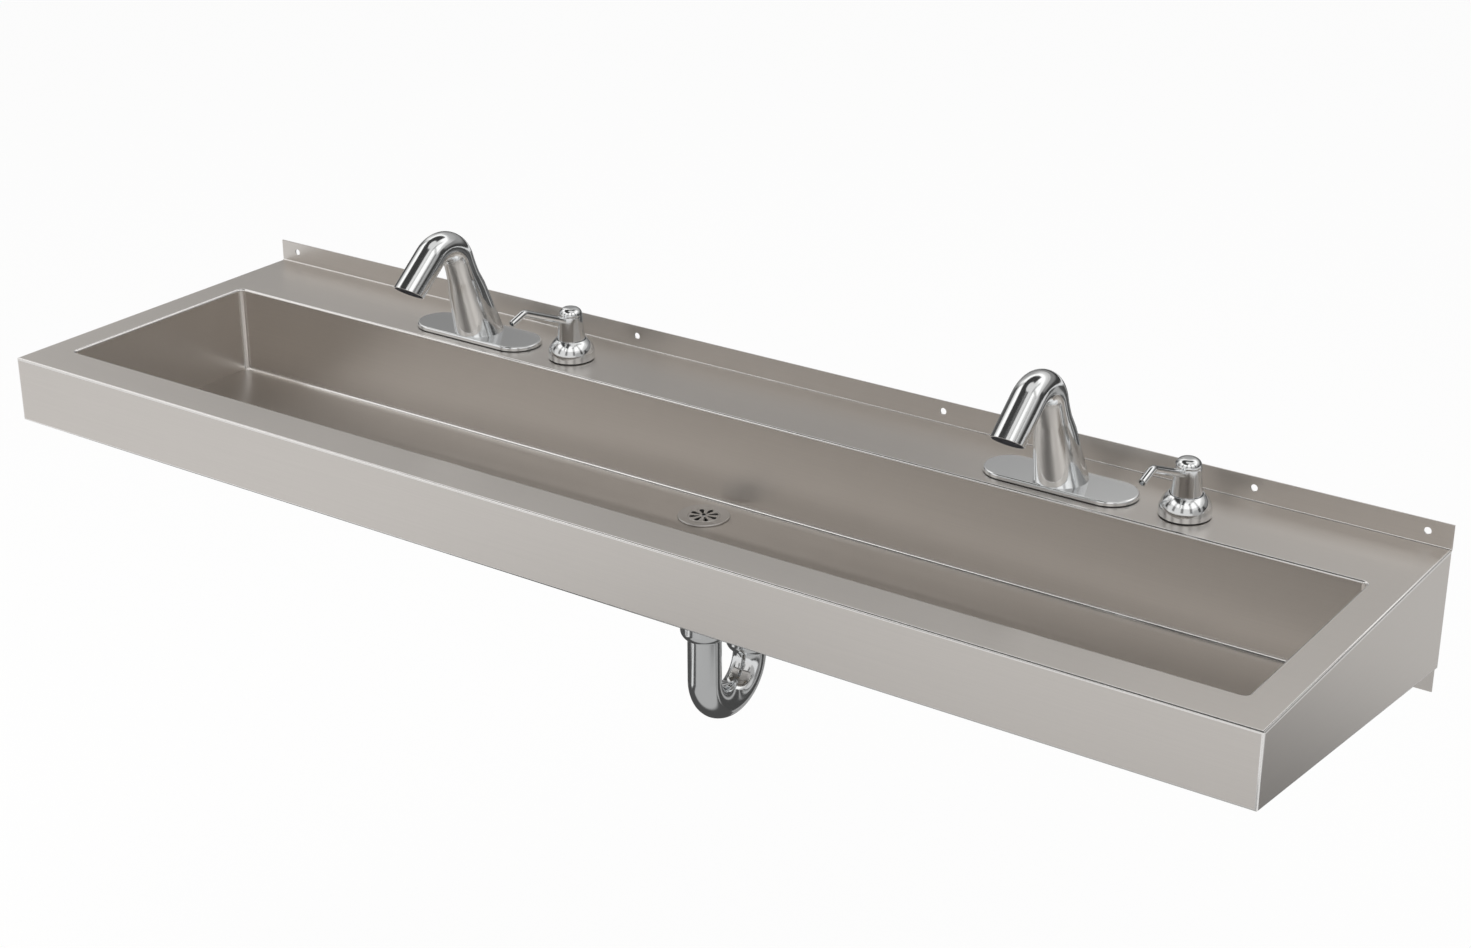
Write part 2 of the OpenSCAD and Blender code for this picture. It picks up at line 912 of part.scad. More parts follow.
// Deck plate with its upper edge rolled all round
module plate_blank() {
    run = plate_l - plate_w;
    flat_h = plate_t - plate_edge_r;
    linear_extrude(flat_h)
        stadium(plate_l, plate_w);
    linear_extrude(plate_t)
        stadium(plate_l - 2 * plate_edge_r, plate_w - 2 * plate_edge_r);
    for (edge = [LEFT, RIGHT])
        translate([0, edge * (plate_w / 2 - plate_edge_r), flat_h])
            rotate([0, 90, 0])
                cylinder(h = run, r = plate_edge_r, center = true);
    for (end = [LEFT, RIGHT])
        translate([end * run / 2, 0, flat_h])
            rotate_extrude()
                translate([plate_w / 2 - plate_edge_r, 0])
                    circle(plate_edge_r);
}

module deck_plate(side) {
    color(CHROME) at_faucet(side)
        translate([0, 0, plate_gasket_t])
            difference() {
                plate_blank();
                translate([0, 0, -over])
                    cylinder(h = plate_t + 2 * over, r = shank_r + loose);
            }
}

module plate_gasket(side) {
    color(RUBBER) at_faucet(side)
        linear_extrude(plate_gasket_t)
            difference() {
                stadium(plate_l - 2 * plate_gasket_in, plate_w - 2 * plate_gasket_in);
                circle(shank_r + loose);
            }
}

// Column outline: a straight taper that eases into the spout's radius
module column_outline() {
    taper = (column_base_r - spout_r) / column_len;
    blend = [for (i = [0 : blend_steps])
        let (s = i / blend_steps)
        [
            spout_r + seam_r + taper * column_blend * (1 - s) * (1 - s) / 2,
            column_len - column_blend * (1 - s)
        ]];
    polygon(concat(
        [[0, -column_foot], [column_base_r + taper * column_foot / 2, -column_foot], [column_base_r, 0]],
        blend,
        [[spout_r - 3 * seam_r, column_len + seam_l], [0, column_len + seam_l]]
    ));
}

module lean() {
    rotate([column_lean, 0, 0])
        children();
}

// Places pieces at the middle of the spout's mouth, with Z along the spout
module at_spout_end() {
    lean()
        bar_end(column_len, spout_bend_r, spout_turn)
            translate([0, 0, spout_len])
                children();
}

// Places pieces at the tilted mouth, with Z square to it
module at_mouth() {
    at_spout_end()
        rotate([mouth_tilt, 0, 0])
            children();
}

// A slab square to the mouth, from a depth inside it
module mouth_slab(depth) {
    at_mouth()
        translate([-2 * spout_r, -2 * spout_r, -depth])
            cube(4 * spout_r);
}

// The open recess behind the mouth, with walls along the spout
module mouth_recess() {
    intersection() {
        at_spout_end()
            cylinder(h = 4 * spout_r, r = mouth_r, center = true);
        mouth_slab(mouth_depth);
    }
}

module faucet_body(side) {
    color(CHROME) at_faucet(side)
        translate([0, 0, plate_z])
            difference() {
                lean() {
                    rotate_extrude()
                        column_outline();
                    bar_bend(spout_r, column_len, spout_bend_r, spout_turn);
                    bar_end(column_len, spout_bend_r, spout_turn)
                        led_bar(spout_r, spout_len + spout_r);
                }
                mouth_slab(0);
                mouth_recess();
                translate([0, 0, -column_foot])
                    cube([4 * column_base_r, 4 * column_base_r, 2 * column_foot], center = true);
                translate([0, 0, -over])
                    cylinder(h = shank_socket_h + over, r = shank_r + fit);
                lean()
                    bent_bar(water_r, column_len, spout_bend_r, spout_turn, spout_len);
                at_mouth() {
                    translate([0, aerator_off, -aerator_bore_depth])
                        cylinder(h = aerator_bore_depth, r = aerator_r + fit);
                    translate([0, lens_off, -mouth_depth - lens_t])
                        cylinder(h = lens_t + over, r = lens_r + fit);
                }
            }
}

module aerator(side) {
    color(PLASTIC) at_faucet(side)
        translate([0, 0, plate_z])
            at_mouth()
                translate([0, aerator_off, -aerator_bore_depth]) {
                    ring(aerator_r, aerator_r - aerator_wall, aerator_len);
                    intersection() {
                        cylinder(h = aerator_len - aerator_wall, r = aerator_r - aerator_wall / 2);
                        union() {
                            for (i = [0 : aerator_ribs - 1]) {
                                place = (i + 1) / (aerator_ribs + 1) * 2 * aerator_r - aerator_r;
                                translate([place, 0, aerator_len / 2])
                                    cube([aerator_rib_w, 2 * aerator_r, aerator_len], center = true);
                                translate([0, place, aerator_len / 2])
                                    cube([2 * aerator_r, aerator_rib_w, aerator_len], center = true);
                            }
                        }
                    }
                }
}

module sensor_lens(side) {
    color(RUBBER) at_faucet(side)
        translate([0, 0, plate_z])
            at_mouth()
                translate([0, lens_off, -mouth_depth - lens_t])
                    cylinder(h = lens_t, r = lens_r);
}

module faucet_shank(side) {
    color(BRASS) at_faucet(side) {
        translate([0, 0, -shank_drop])
            ring(shank_r, water_r, shank_drop + plate_z + shank_socket_h);
        translate([0, 0, -shank_drop - inlet_l])
            ring(inlet_r, water_r, inlet_l);
    }
}

module faucet_washer(side) {
    color(RUBBER) at_faucet(side)
        translate([0, 0, -sheet_t - faucet_washer_t])
            ring(shank_r + faucet_washer_w, shank_r + fit, faucet_washer_t);
}

module faucet_nut(side) {
    color(BRASS) at_faucet(side)
        translate([0, 0, -sheet_t - faucet_washer_t - faucet_nut_t])
            hex_nut(shank_r + faucet_nut_w, shank_r + fit, faucet_nut_t);
}

module left_deck_plate() { deck_plate(LEFT); }
module left_plate_gasket() { plate_gasket(LEFT); }
module left_faucet_body() { faucet_body(LEFT); }
module left_aerator() { aerator(LEFT); }
module left_sensor_lens() { sensor_lens(LEFT); }
module left_faucet_shank() { faucet_shank(LEFT); }
module left_faucet_washer() { faucet_washer(LEFT); }
module left_faucet_nut() { faucet_nut(LEFT); }
module right_deck_plate() { deck_plate(RIGHT); }
module right_plate_gasket() { plate_gasket(RIGHT); }
module right_faucet_body() { faucet_body(RIGHT); }
module right_aerator() { aerator(RIGHT); }
module right_sensor_lens() { sensor_lens(RIGHT); }
module right_faucet_shank() { faucet_shank(RIGHT); }
module right_faucet_washer() { faucet_washer(RIGHT); }
module right_faucet_nut() { faucet_nut(RIGHT); }

// Places pieces at a soap pump, with Z = 0 on the deck
module at_pump(side) {
    on_wall()
        translate([side * faucet_x + pump_shift, fitting_y, 0])
            children();
}

// Dome outline: a straight foot, then a quarter of an ellipse cut off by the head's opening
function dome_point(i) =
    let (
        opening = dome_bore_r + dome_lip,
        end_a = acos(opening / dome_r),
        rise = (dome_h - pump_gasket_t - dome_straight) / sin(end_a),
        a = end_a * i / dome_steps
    )
    [dome_r * cos(a), pump_gasket_t + dome_straight + rise * sin(a)];

module dispenser_flange(side) {
    color(CHROME) at_pump(side)
        difference() {
            union() {
                rotate_extrude()
                    polygon(concat(
                        [[0, pump_gasket_t], [dome_r - dome_edge, pump_gasket_t], [dome_r, pump_gasket_t + dome_edge]],
                        [for (i = [0 : dome_steps]) dome_point(i)],
                        [[0, dome_h]]
                    ));
                translate([0, 0, -soap_shank_drop])
                    cylinder(h = soap_shank_drop + dome_floor_z, r = soap_shank_r);
            }
            translate([0, 0, dome_floor_z])
                cylinder(h = dome_h, r = dome_bore_r);
            translate([0, 0, -soap_shank_drop - over])
                cylinder(h = soap_shank_drop + dome_h, r = cylinder_r + fit);
        }
}

module dispenser_gasket(side) {
    color(RUBBER) at_pump(side)
        ring(dome_r - pump_gasket_in, soap_shank_r + fit, pump_gasket_t);
}

module dispenser_locknut(side) {
    color(BRASS) at_pump(side)
        translate([0, 0, -sheet_t - soap_nut_t])
            hex_nut(soap_shank_r + soap_nut_w, soap_shank_r + fit, soap_nut_t);
}

// Bottle screwed up on to the shank, hollow and open at its neck
module soap_bottle(side) {
    inner_r = bottle_r - bottle_wall;
    body_top = bottle_top - shoulder_h;
    color(PLASTIC) at_pump(side)
        difference() {
            rotate_extrude()
                polygon([
                    [0, bottle_bottom],
                    [bottle_r - 2 * bottle_wall, bottle_bottom],
                    [bottle_r, bottle_bottom + 2 * bottle_wall],
                    [bottle_r, body_top],
                    [neck_r, bottle_top],
                    [neck_r, bottle_neck_z],
                    [0, bottle_neck_z]
                ]);
            rotate_extrude()
                polygon([
                    [0, bottle_bottom + bottle_wall],
                    [inner_r - bottle_wall, bottle_bottom + bottle_wall],
                    [inner_r, bottle_bottom + 2 * bottle_wall],
                    [inner_r, body_top],
                    [soap_shank_r, bottle_top - bottle_wall],
                    [0, bottle_top - bottle_wall]
                ]);
            translate([0, 0, bottle_top - 2 * bottle_wall])
                cylinder(h = 2 * neck_h, r = soap_shank_r + fit);
        }
}

// Cylinder that hangs in the shank from its cap, with a nipple for the dip tube
module pump_cylinder(side) {
    color(PLASTIC) at_pump(side)
        difference() {
            union() {
                translate([0, 0, cylinder_bottom])
                    cylinder(h = cylinder_drop, r = cylinder_r);
                translate([0, 0, cylinder_bottom - nipple_h])
                    cylinder(h = nipple_h + over, r = dip_r + cylinder_wall);
            }
            translate([0, 0, spring_bottom])
                cylinder(h = cylinder_drop, r = cylinder_bore_r);
            translate([0, 0, cylinder_bottom - nipple_h - over])
                cylinder(h = nipple_h + over, r = dip_r + fit);
            translate([0, 0, cylinder_bottom - over])
                cylinder(h = cylinder_floor + 2 * over, r = dip_bore_r);
        }
}

module pump_cap(side) {
    color(PLASTIC) at_pump(side)
        translate([0, 0, dome_floor_z])
            difference() {
                union() {
                    cylinder(h = cap_t, r = cap_r);
                    translate([0, 0, -cap_plug])
                        cylinder(h = cap_plug + over, r = cylinder_bore_r - fit);
                }
                translate([0, 0, -cap_plug - over])
                    cylinder(h = cap_plug + cap_t + 2 * over, r = stem_r + fit);
            }
}

module dip_tube(side) {
    color(PLASTIC) at_pump(side)
        translate([0, 0, dip_bottom])
            ring(dip_r, dip_bore_r, cylinder_bottom - dip_bottom);
}

module pump_piston(side) {
    stem_len = stem_top - piston_bottom;
    color(PLASTIC) at_pump(side)
        translate([0, 0, piston_bottom])
            difference() {
                union() {
                    cylinder(h = piston_t, r = cylinder_bore_r - fit);
                    cylinder(h = stem_len, r = stem_r);
                }
                translate([0, 0, -over])
                    cylinder(h = stem_len + 2 * over, r = stem_bore_r);
            }
}

// Points and faces of a coil of round wire between two heights
function coil_ring(i, height) =
    let (
        a = 360 * i / spring_steps,
        z = height * i / (spring_steps * spring_turns)
    )
    [for (j = [0 : spring_sides - 1])
        let (
            b = 360 * j / spring_sides,
            r = spring_r + spring_wire_r * cos(b)
        )
        [r * cos(a), r * sin(a), z + spring_wire_r * sin(b)]];

module pump_spring(side) {
    rings = spring_steps * spring_turns;
    height = spring_h - 2 * spring_wire_r - fit;
    points = [for (i = [0 : rings]) each coil_ring(i, height)];
    last = rings * spring_sides;
    walls = [for (i = [0 : rings - 1], j = [0 : spring_sides - 1])
        let (
            a = i * spring_sides + j,
            b = i * spring_sides + (j + 1) % spring_sides
        )
        each [[a, a + spring_sides, b + spring_sides], [a, b + spring_sides, b]]];
    caps = [for (j = [1 : spring_sides - 2])
        each [[0, j, j + 1], [last, last + j + 1, last + j]]];
    color(STEEL) at_pump(side)
        translate([0, 0, spring_bottom + spring_wire_r])
            polyhedron(points, concat(walls, caps), convexity = 10);
}

// Head outline: a cone with a rounded top
module head_outline() {
    top_r = head_top_r - head_round_r;
    intersection() {
        union() {
            polygon([
                [0, head_bottom],
                [head_base_r - head_edge, head_bottom],
                [head_base_r, head_bottom + head_edge],
                [head_top_r, head_top_z - head_taper_stop],
                [head_top_r, head_top_z - head_round_r],
                [top_r, head_top_z],
                [0, head_top_z]
            ]);
            translate([top_r, head_top_z - head_round_r])
                circle(head_round_r);
        }
        square([head_base_r, head_top_z]);
    }
}

// Places the spout tube in the head, with Z along the tube
module at_arm() {
    translate([0, 0, arm_root_z])
        rotate([90 - arm_rise, 0, 0])
            children();
}

module pump_head(side) {
    color(CHROME) at_pump(side)
        difference() {
            union() {
                rotate_extrude()
                    head_outline();
                at_arm()
                    bent_bar(arm_r, arm_len, arm_bend_r, arm_turn, arm_tip);
            }
            translate([0, 0, head_bottom - over])
                cylinder(h = head_cavity_h + over, r = head_cavity_r);
            translate([0, 0, head_bottom])
                cylinder(h = stem_top + fit - head_bottom, r = stem_r + fit);
            translate([0, 0, head_bottom])
                cylinder(h = arm_root_z - head_bottom, r = stem_bore_r);
            at_arm()
                bent_bar(arm_bore_r, arm_len, arm_bend_r, arm_turn, arm_tip + over);
        }
}

module left_dispenser_flange() { dispenser_flange(LEFT); }
module left_dispenser_gasket() { dispenser_gasket(LEFT); }
module left_dispenser_locknut() { dispenser_locknut(LEFT); }
module left_soap_bottle() { soap_bottle(LEFT); }
module left_pump_cylinder() { pump_cylinder(LEFT); }
module left_pump_cap() { pump_cap(LEFT); }
module left_dip_tube() { dip_tube(LEFT); }
module left_pump_piston() { pump_piston(LEFT); }
module left_pump_spring() { pump_spring(LEFT); }
module left_pump_head() { pump_head(LEFT); }
module right_dispenser_flange() { dispenser_flange(RIGHT); }
module right_dispenser_gasket() { dispenser_gasket(RIGHT); }
module right_dispenser_locknut() { dispenser_locknut(RIGHT); }
module right_soap_bottle() { soap_bottle(RIGHT); }
module right_pump_cylinder() { pump_cylinder(RIGHT); }
module right_pump_cap() { pump_cap(RIGHT); }
module right_dip_tube() { dip_tube(RIGHT); }
module right_pump_piston() { pump_piston(RIGHT); }
module right_pump_spring() { pump_spring(RIGHT); }
module right_pump_head() { pump_head(RIGHT); }

deck_and_apron();
left_end_panel();
right_end_panel();
basin();
rear_skirt();
strainer_body();
strainer_grid();
strainer_screw();
drain_gasket();
drain_washer();
drain_locknut();
tailpiece();
trap_inlet_nut();
trap_inlet_washer();
trap_j_bend();
trap_outlet_nut();
trap_outlet_washer();
trap_arm();
wall_escutcheon();
left_deck_plate();
left_plate_gasket();
left_faucet_body();
left_aerator();
left_sensor_lens();
left_faucet_shank();
left_faucet_washer();
left_faucet_nut();
right_deck_plate();
right_plate_gasket();
right_faucet_body();
right_aerator();
right_sensor_lens();
right_faucet_shank();
right_faucet_washer();
right_faucet_nut();
left_dispenser_flange();
left_dispenser_gasket();
left_dispenser_locknut();
left_soap_bottle();
left_pump_cylinder();
left_pump_cap();
left_dip_tube();
left_pump_piston();
left_pump_spring();
left_pump_head();
right_dispenser_flange();
right_dispenser_gasket();
right_dispenser_locknut();
right_soap_bottle();
right_pump_cylinder();
right_pump_cap();
right_dip_tube();
right_pump_piston();
right_pump_spring();
right_pump_head();
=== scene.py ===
"""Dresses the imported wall-hung trough sink: brushed sheet steel, chrome fittings, soap pumps and a P-trap.

Metres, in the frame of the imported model: X along the wall, the wall at Y = 0, the front at -Y, Z up.
"""

import logging
import math
from dataclasses import dataclass
from enum import Enum
from typing import Callable, Sequence

import bmesh
import bpy
from mathutils import Matrix, Vector

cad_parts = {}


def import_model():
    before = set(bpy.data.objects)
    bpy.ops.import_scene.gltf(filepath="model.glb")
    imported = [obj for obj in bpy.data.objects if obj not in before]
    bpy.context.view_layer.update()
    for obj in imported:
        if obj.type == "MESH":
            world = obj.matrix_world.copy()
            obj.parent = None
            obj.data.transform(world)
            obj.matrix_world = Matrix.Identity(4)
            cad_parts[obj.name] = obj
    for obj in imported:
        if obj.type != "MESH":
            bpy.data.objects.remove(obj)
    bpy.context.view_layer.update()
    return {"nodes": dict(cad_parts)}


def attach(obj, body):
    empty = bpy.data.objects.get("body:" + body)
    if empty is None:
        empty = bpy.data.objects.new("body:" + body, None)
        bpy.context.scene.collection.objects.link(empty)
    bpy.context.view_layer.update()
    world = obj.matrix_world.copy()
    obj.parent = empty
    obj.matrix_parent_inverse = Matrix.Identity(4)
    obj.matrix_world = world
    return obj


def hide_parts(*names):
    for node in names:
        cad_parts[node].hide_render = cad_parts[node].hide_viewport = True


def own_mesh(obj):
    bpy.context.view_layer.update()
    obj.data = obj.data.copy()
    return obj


logging.basicConfig(level=logging.INFO, format="%(name)s: %(message)s")
LOG = logging.getLogger("trough_sink")

Point = tuple[float, float, float]
Colour = tuple[float, float, float]
Outline = list[tuple[float, float]]
Curve = tuple[tuple[float, float], ...]

DECK_Z = -0.0137  # the deck's top, below the wall holes
FLOOR_Z = DECK_Z - 0.104  # the basin's flat floor
FITTING_Y = -0.071  # the line of faucets and soap pumps
FAUCET_X = 0.381  # each faucet's distance from the middle
PUMP_SHIFT = 0.137  # each soap pump's place to the right of its faucet
DRAIN_Y = -0.1555
SHEET_T = 0.0015
EDGE = 0.0003  # the small rounding of a turned edge
FIT = 0.00005  # the gap round a thread or a tube in its bore
OVERRUN = 0.01  # how far a cutter passes what it cuts
BEND_NORMAL = 0.998  # a sheet's face that points further than this along an axis is flat
BEND_AREA = 0.003  # a sheet's broad faces are larger than this, in square metres
MERGE = 1e-6  # doubles nearer than this are one point
LEVEL = 1e-5  # points nearer than this in height are at one level
SMOOTH_ANGLE = math.radians(32)
UP = Vector((0, 0, 1))
ALONG_WALL = Vector((1, 0, 0))
ORIGIN = Vector((0, 0, 0))


class Body(Enum):
    """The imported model's bodies that dressed pieces ride on."""

    SINK = "sink"
    LEFT_HEAD = "left_head"
    RIGHT_HEAD = "right_head"


class Slot(Enum):
    """The record's material slots."""

    STAINLESS = "stainless"
    STRAINER = "strainer_steel"
    CHROME = "chrome"
    BRASS = "brass"
    RUBBER = "rubber"
    FIBRE = "fibre"
    DARK_PLASTIC = "dark_plastic"
    LENS = "lens"
    BOTTLE = "bottle"
    WHITE_PLASTIC = "white_plastic"
    SPRING = "spring_steel"


class Side(Enum):
    """The two sets of fittings along the deck."""

    LEFT = "left"
    RIGHT = "right"

    @property
    def sign(self) -> int:
        """Which way this side lies from the middle."""
        return -1 if self is Side.LEFT else 1

    @property
    def faucet(self) -> Vector:
        """Place of this side's faucet on the deck."""
        return Vector((self.sign * FAUCET_X, FITTING_Y, DECK_Z))

    @property
    def pump(self) -> Vector:
        """Place of this side's soap pump on the deck."""
        return self.faucet + Vector((PUMP_SHIFT, 0, 0))

    @property
    def head_body(self) -> Body:
        """The body that this side's pump head rides on."""
        return Body.LEFT_HEAD if self is Side.LEFT else Body.RIGHT_HEAD


class Grain(Enum):
    """Which way a sheet was brushed: scales of its streaks along X, Y and Z, per metre."""

    ALONG_X = (5.0, 900.0, 900.0)
    ALONG_Y = (900.0, 6.0, 900.0)
    EVEN = (350.0, 350.0, 350.0)


# Shader maths


class Term:
    """A shader value that takes part in Python arithmetic and adds its own Math nodes."""

    def __init__(self, tree: "Tree", socket: bpy.types.NodeSocket) -> None:
        """Wraps one output socket of a tree."""
        self.tree = tree
        self.socket = socket

    def _math(self, operation: str, *values: "Term | float") -> "Term":
        """Adds one Math node.

        Args:
            operation: the Math node's operation.
            values: what goes into its sockets, in order.

        Returns:
            The node's result.
        """
        return self.tree.node("ShaderNodeMath", {"operation": operation}, dict(enumerate(values)))

    def __add__(self, other: "Term | float") -> "Term":
        """Sum."""
        return self._math("ADD", self, other)

    def __radd__(self, other: float) -> "Term":
        """Sum, with the number first."""
        return self._math("ADD", other, self)

    def __sub__(self, other: "Term | float") -> "Term":
        """Difference."""
        return self._math("SUBTRACT", self, other)

    def __rsub__(self, other: float) -> "Term":
        """Difference, with the number first."""
        return self._math("SUBTRACT", other, self)

    def __mul__(self, other: "Term | float") -> "Term":
        """Product."""
        return self._math("MULTIPLY", self, other)

    def __rmul__(self, other: float) -> "Term":
        """Product, with the number first."""
        return self._math("MULTIPLY", other, self)

    def most(self, other: "Term | float") -> "Term":
        """The larger of two values."""
        return self._math("MAXIMUM", self, other)

    def size(self) -> "Term":
        """The value without its sign."""
        return self._math("ABSOLUTE", self)

    def sine(self) -> "Term":
        """Sine of the value."""
        return self._math("SINE", self)

    def angle(self, other: "Term") -> "Term":
        """The angle in radians whose sine and cosine go with this value and another."""
        return self._math("ARCTAN2", self, other)

    def step(self, low: float, high: float) -> "Term":
        """A soft step from 0 at one value to 1 at another.

        Args:
            low: the value that gives 0.
            high: the value that gives 1; it may be the smaller one.

        Returns:
            The step.
        """
        return self.tree.node(
            "ShaderNodeMapRange",
            {"interpolation_type": "SMOOTHSTEP"},
            {"Value": self, "From Min": low, "From Max": high},
        )


class Tree:
    """A node tree under construction, for a material or the world."""

    def __init__(self, tree: bpy.types.NodeTree) -> None:
        """Empties the tree."""
        self.tree = tree
        tree.nodes.clear()

    def add(self, kind: str, settings: dict, inputs: dict) -> bpy.types.Node:
        """Adds any node.

        Args:
            kind: the node's type.
            settings: its properties, set first.
            inputs: values or links for its sockets, by name or number.

        Returns:
            The node.
        """
        node = self.tree.nodes.new(kind)
        for key, value in settings.items():
            setattr(node, key, value)
        for key, value in inputs.items():
            if isinstance(value, Term):
                self.tree.links.new(value.socket, node.inputs[key])
            else:
                node.inputs[key].default_value = value
        return node

    def node(self, kind: str, settings: dict, inputs: dict, out: int | str = 0) -> Term:
        """Adds any node and gives one of its outputs.

        Args:
            kind: the node's type.
            settings: its properties.
            inputs: values or links for its sockets.
            out: the output's name or number.

        Returns:
            The output.
        """
        return Term(self, self.add(kind, settings, inputs).outputs[out])

    def place(self, scale: Sequence[float] = (1, 1, 1)) -> Term:
        """Object coordinates, scaled for a pattern."""
        raw = self.node("ShaderNodeTexCoord", {}, {}, "Object")
        return self.node("ShaderNodeMapping", {}, {"Vector": raw, "Scale": scale})

    def axes(self, vector: Term) -> tuple[Term, Term, Term]:
        """Splits a vector into its three parts."""
        node = self.add("ShaderNodeSeparateXYZ", {}, {"Vector": vector})
        return tuple(Term(self, out) for out in node.outputs)

    def noise(self, vector: Term, scale: float, detail: float = 2.0, rough: float = 0.5) -> Term:
        """Noise from 0 to 1 over a vector."""
        inputs = {"Vector": vector, "Scale": scale, "Detail": detail, "Roughness": rough}
        return self.node("ShaderNodeTexNoise", {}, inputs)

    def blend(self, amount: Term, first: Sequence[float], second: Sequence[float]) -> Term:
        """Mixes two colours: the amount goes to socket 0, the ends to 6 and 7, the result is at 2."""
        inputs = {0: amount, 6: (*first, 1.0), 7: (*second, 1.0)}
        return self.node("ShaderNodeMix", {"data_type": "RGBA"}, inputs, 2)

    def bump(self, height: Term, strength: float, distance: float) -> Term:
        """A bumped normal from a height."""
        inputs = {"Height": height, "Strength": strength, "Distance": distance}
        return self.node("ShaderNodeBump", {}, inputs)

    def ray(self, kind: str) -> Term:
        """1 for one kind of ray: "Camera", "Glossy" or "Transmission"."""
        return self.node("ShaderNodeLightPath", {}, {}, f"Is {kind} Ray")

    def light(self, kind: str, tint: Colour, strength: Term | float) -> Term:
        """A light of one tint, as an Emission or a Background node."""
        return self.node(f"ShaderNode{kind}", {}, {"Color": (*tint, 1.0), "Strength": strength})

    def mix(self, amount: Term, first: Term, second: Term) -> Term:
        """Mixes two shaders."""
        return self.node("ShaderNodeMixShader", {}, {0: amount, 1: first, 2: second})

    def output(self, kind: str, surface: Term) -> None:
        """Gives a shader to the tree's output, of a Material or the World."""
        self.add(f"ShaderNodeOutput{kind}", {}, {"Surface": surface})


class Finish:
    """A surface finish: a material that is built once and given to several pieces."""

    name: str
    slot: Slot

    def sockets(self, tree: Tree) -> dict:
        """Values and links for the Principled shader's sockets."""
        raise NotImplementedError

    def material(self) -> bpy.types.Material:
        """The finish's material, made at its first use.

        Returns:
            The material.
        """
        found = bpy.data.materials.get(self.name)
        if found is not None:
            return found
        made = bpy.data.materials.new(self.name)
        made.use_nodes = True
        tree = Tree(made.node_tree)
        shader = tree.node("ShaderNodeBsdfPrincipled", {}, self.sockets(tree), "BSDF")
        tree.output("Material", shader)
        return made

    def _on(self, piece: bpy.types.Object, test: Callable[[bpy.types.MeshPolygon], bool]) -> None:
        """Puts the finish on the faces that pass a test, beside the piece's own finish.

        Args:
            piece: the piece.
            test: says whether a face gets the finish.
        """
        piece.data.materials.append(self.material())
        index = len(piece.data.materials) - 1
        for face in piece.data.polygons:
            if test(face):
                face.material_index = index

    def line(self, piece: bpy.types.Object, test: Callable[[Vector], bool]) -> None:
        """Puts the finish on the faces whose points all pass a test.

        Args:
            piece: the piece.
            test: says whether a point belongs.
        """
        points = piece.data.vertices
        self._on(piece, lambda face: all(test(points[i].co) for i in face.vertices))

    def bends(self, piece: bpy.types.Object) -> None:
        """Puts the finish on the narrow faces of a sheet that lie across its axes."""
        self._on(piece, lambda face: max(map(abs, face.normal)) < BEND_NORMAL and face.area < BEND_AREA)

    def give(self, piece: bpy.types.Object) -> None:
        """Puts the finish into all of a piece's material slots.

        Args:
            piece: the piece.
        """
        made = self.material()
        if not piece.material_slots:
            piece.data.materials.append(made)
        for slot in piece.material_slots:
            slot.material = made


@dataclass(frozen=True)
class BrushedSteel(Finish):
    """Sheet steel with long fine streaks and a faint cloudiness."""

    name: str
    slot: Slot
    grain: Grain
    tint: Colour = (0.715, 0.680, 0.645)
    rough: float = 0.31
    streak_depth: float = 0.00012
    worn: float = 0.84

    def sockets(self, tree: Tree) -> dict:
        """Streaks in colour, roughness and height over a slow cloudiness.

        Args:
            tree: the material's tree.

        Returns:
            Values and links by socket name.
        """
        streaks = tree.noise(tree.place(self.grain.value), 1.0, detail=3.0, rough=0.6)
        fine = tree.noise(tree.place([s * 3 for s in self.grain.value]), 1.0, rough=0.7)
        cloud = tree.noise(tree.place(), 4.0, detail=3.0, rough=0.55)
        tone = streaks * 0.45 + fine * 0.35 + cloud * 0.3
        return {
            "Base Color": tree.blend(tone, [c * self.worn for c in self.tint], self.tint),
            "Metallic": 1.0,
            "Roughness": self.rough - 0.05 + streaks * 0.08 + cloud * 0.06,
            "Normal": tree.bump(streaks * 0.6 + fine * 0.4, strength=0.35, distance=self.streak_depth),
        }


@dataclass(frozen=True)
class Chrome(Finish):
    """Bright plated brass with a faint haze."""

    name: str
    slot: Slot
    tint: Colour = (0.90, 0.90, 0.905)
    rough: float = 0.035
    faded: float = 0.94

    def sockets(self, tree: Tree) -> dict:
        """A clean mirror with a slight haze and hardly any tone.

        Args:
            tree: the material's tree.

        Returns:
            Values and links by socket name.
        """
        haze = tree.noise(tree.place(), 60.0, detail=4.0, rough=0.6)
        film = tree.noise(tree.place(), 9.0)
        return {
            "Base Color": tree.blend(film, [c * self.faded for c in self.tint], self.tint),
            "Metallic": 1.0,
            "Roughness": self.rough - 0.015 + haze * 0.03,
            "Normal": tree.bump(film, strength=0.04, distance=0.0004),
        }


@dataclass(frozen=True)
class TurnedMetal(Finish):
    """Machined metal with fine turning marks across its height."""

    name: str
    slot: Slot
    tint: Colour
    rough: float = 0.3
    dull: float = 0.72

    def sockets(self, tree: Tree) -> dict:
        """Turning rings in height, with a dull film over them.

        Args:
            tree: the material's tree.

        Returns:
            Values and links by socket name.
        """
        rings = tree.noise(tree.place((60, 60, 2600)), 1.0, rough=0.6)
        film = tree.noise(tree.place(), 70.0, detail=4.0, rough=0.6)
        return {
            "Base Color": tree.blend(film, [c * self.dull for c in self.tint], self.tint),
            "Metallic": 1.0,
            "Roughness": self.rough - 0.06 + film * 0.16,
            "Normal": tree.bump(rings, strength=0.3, distance=0.00008),
        }


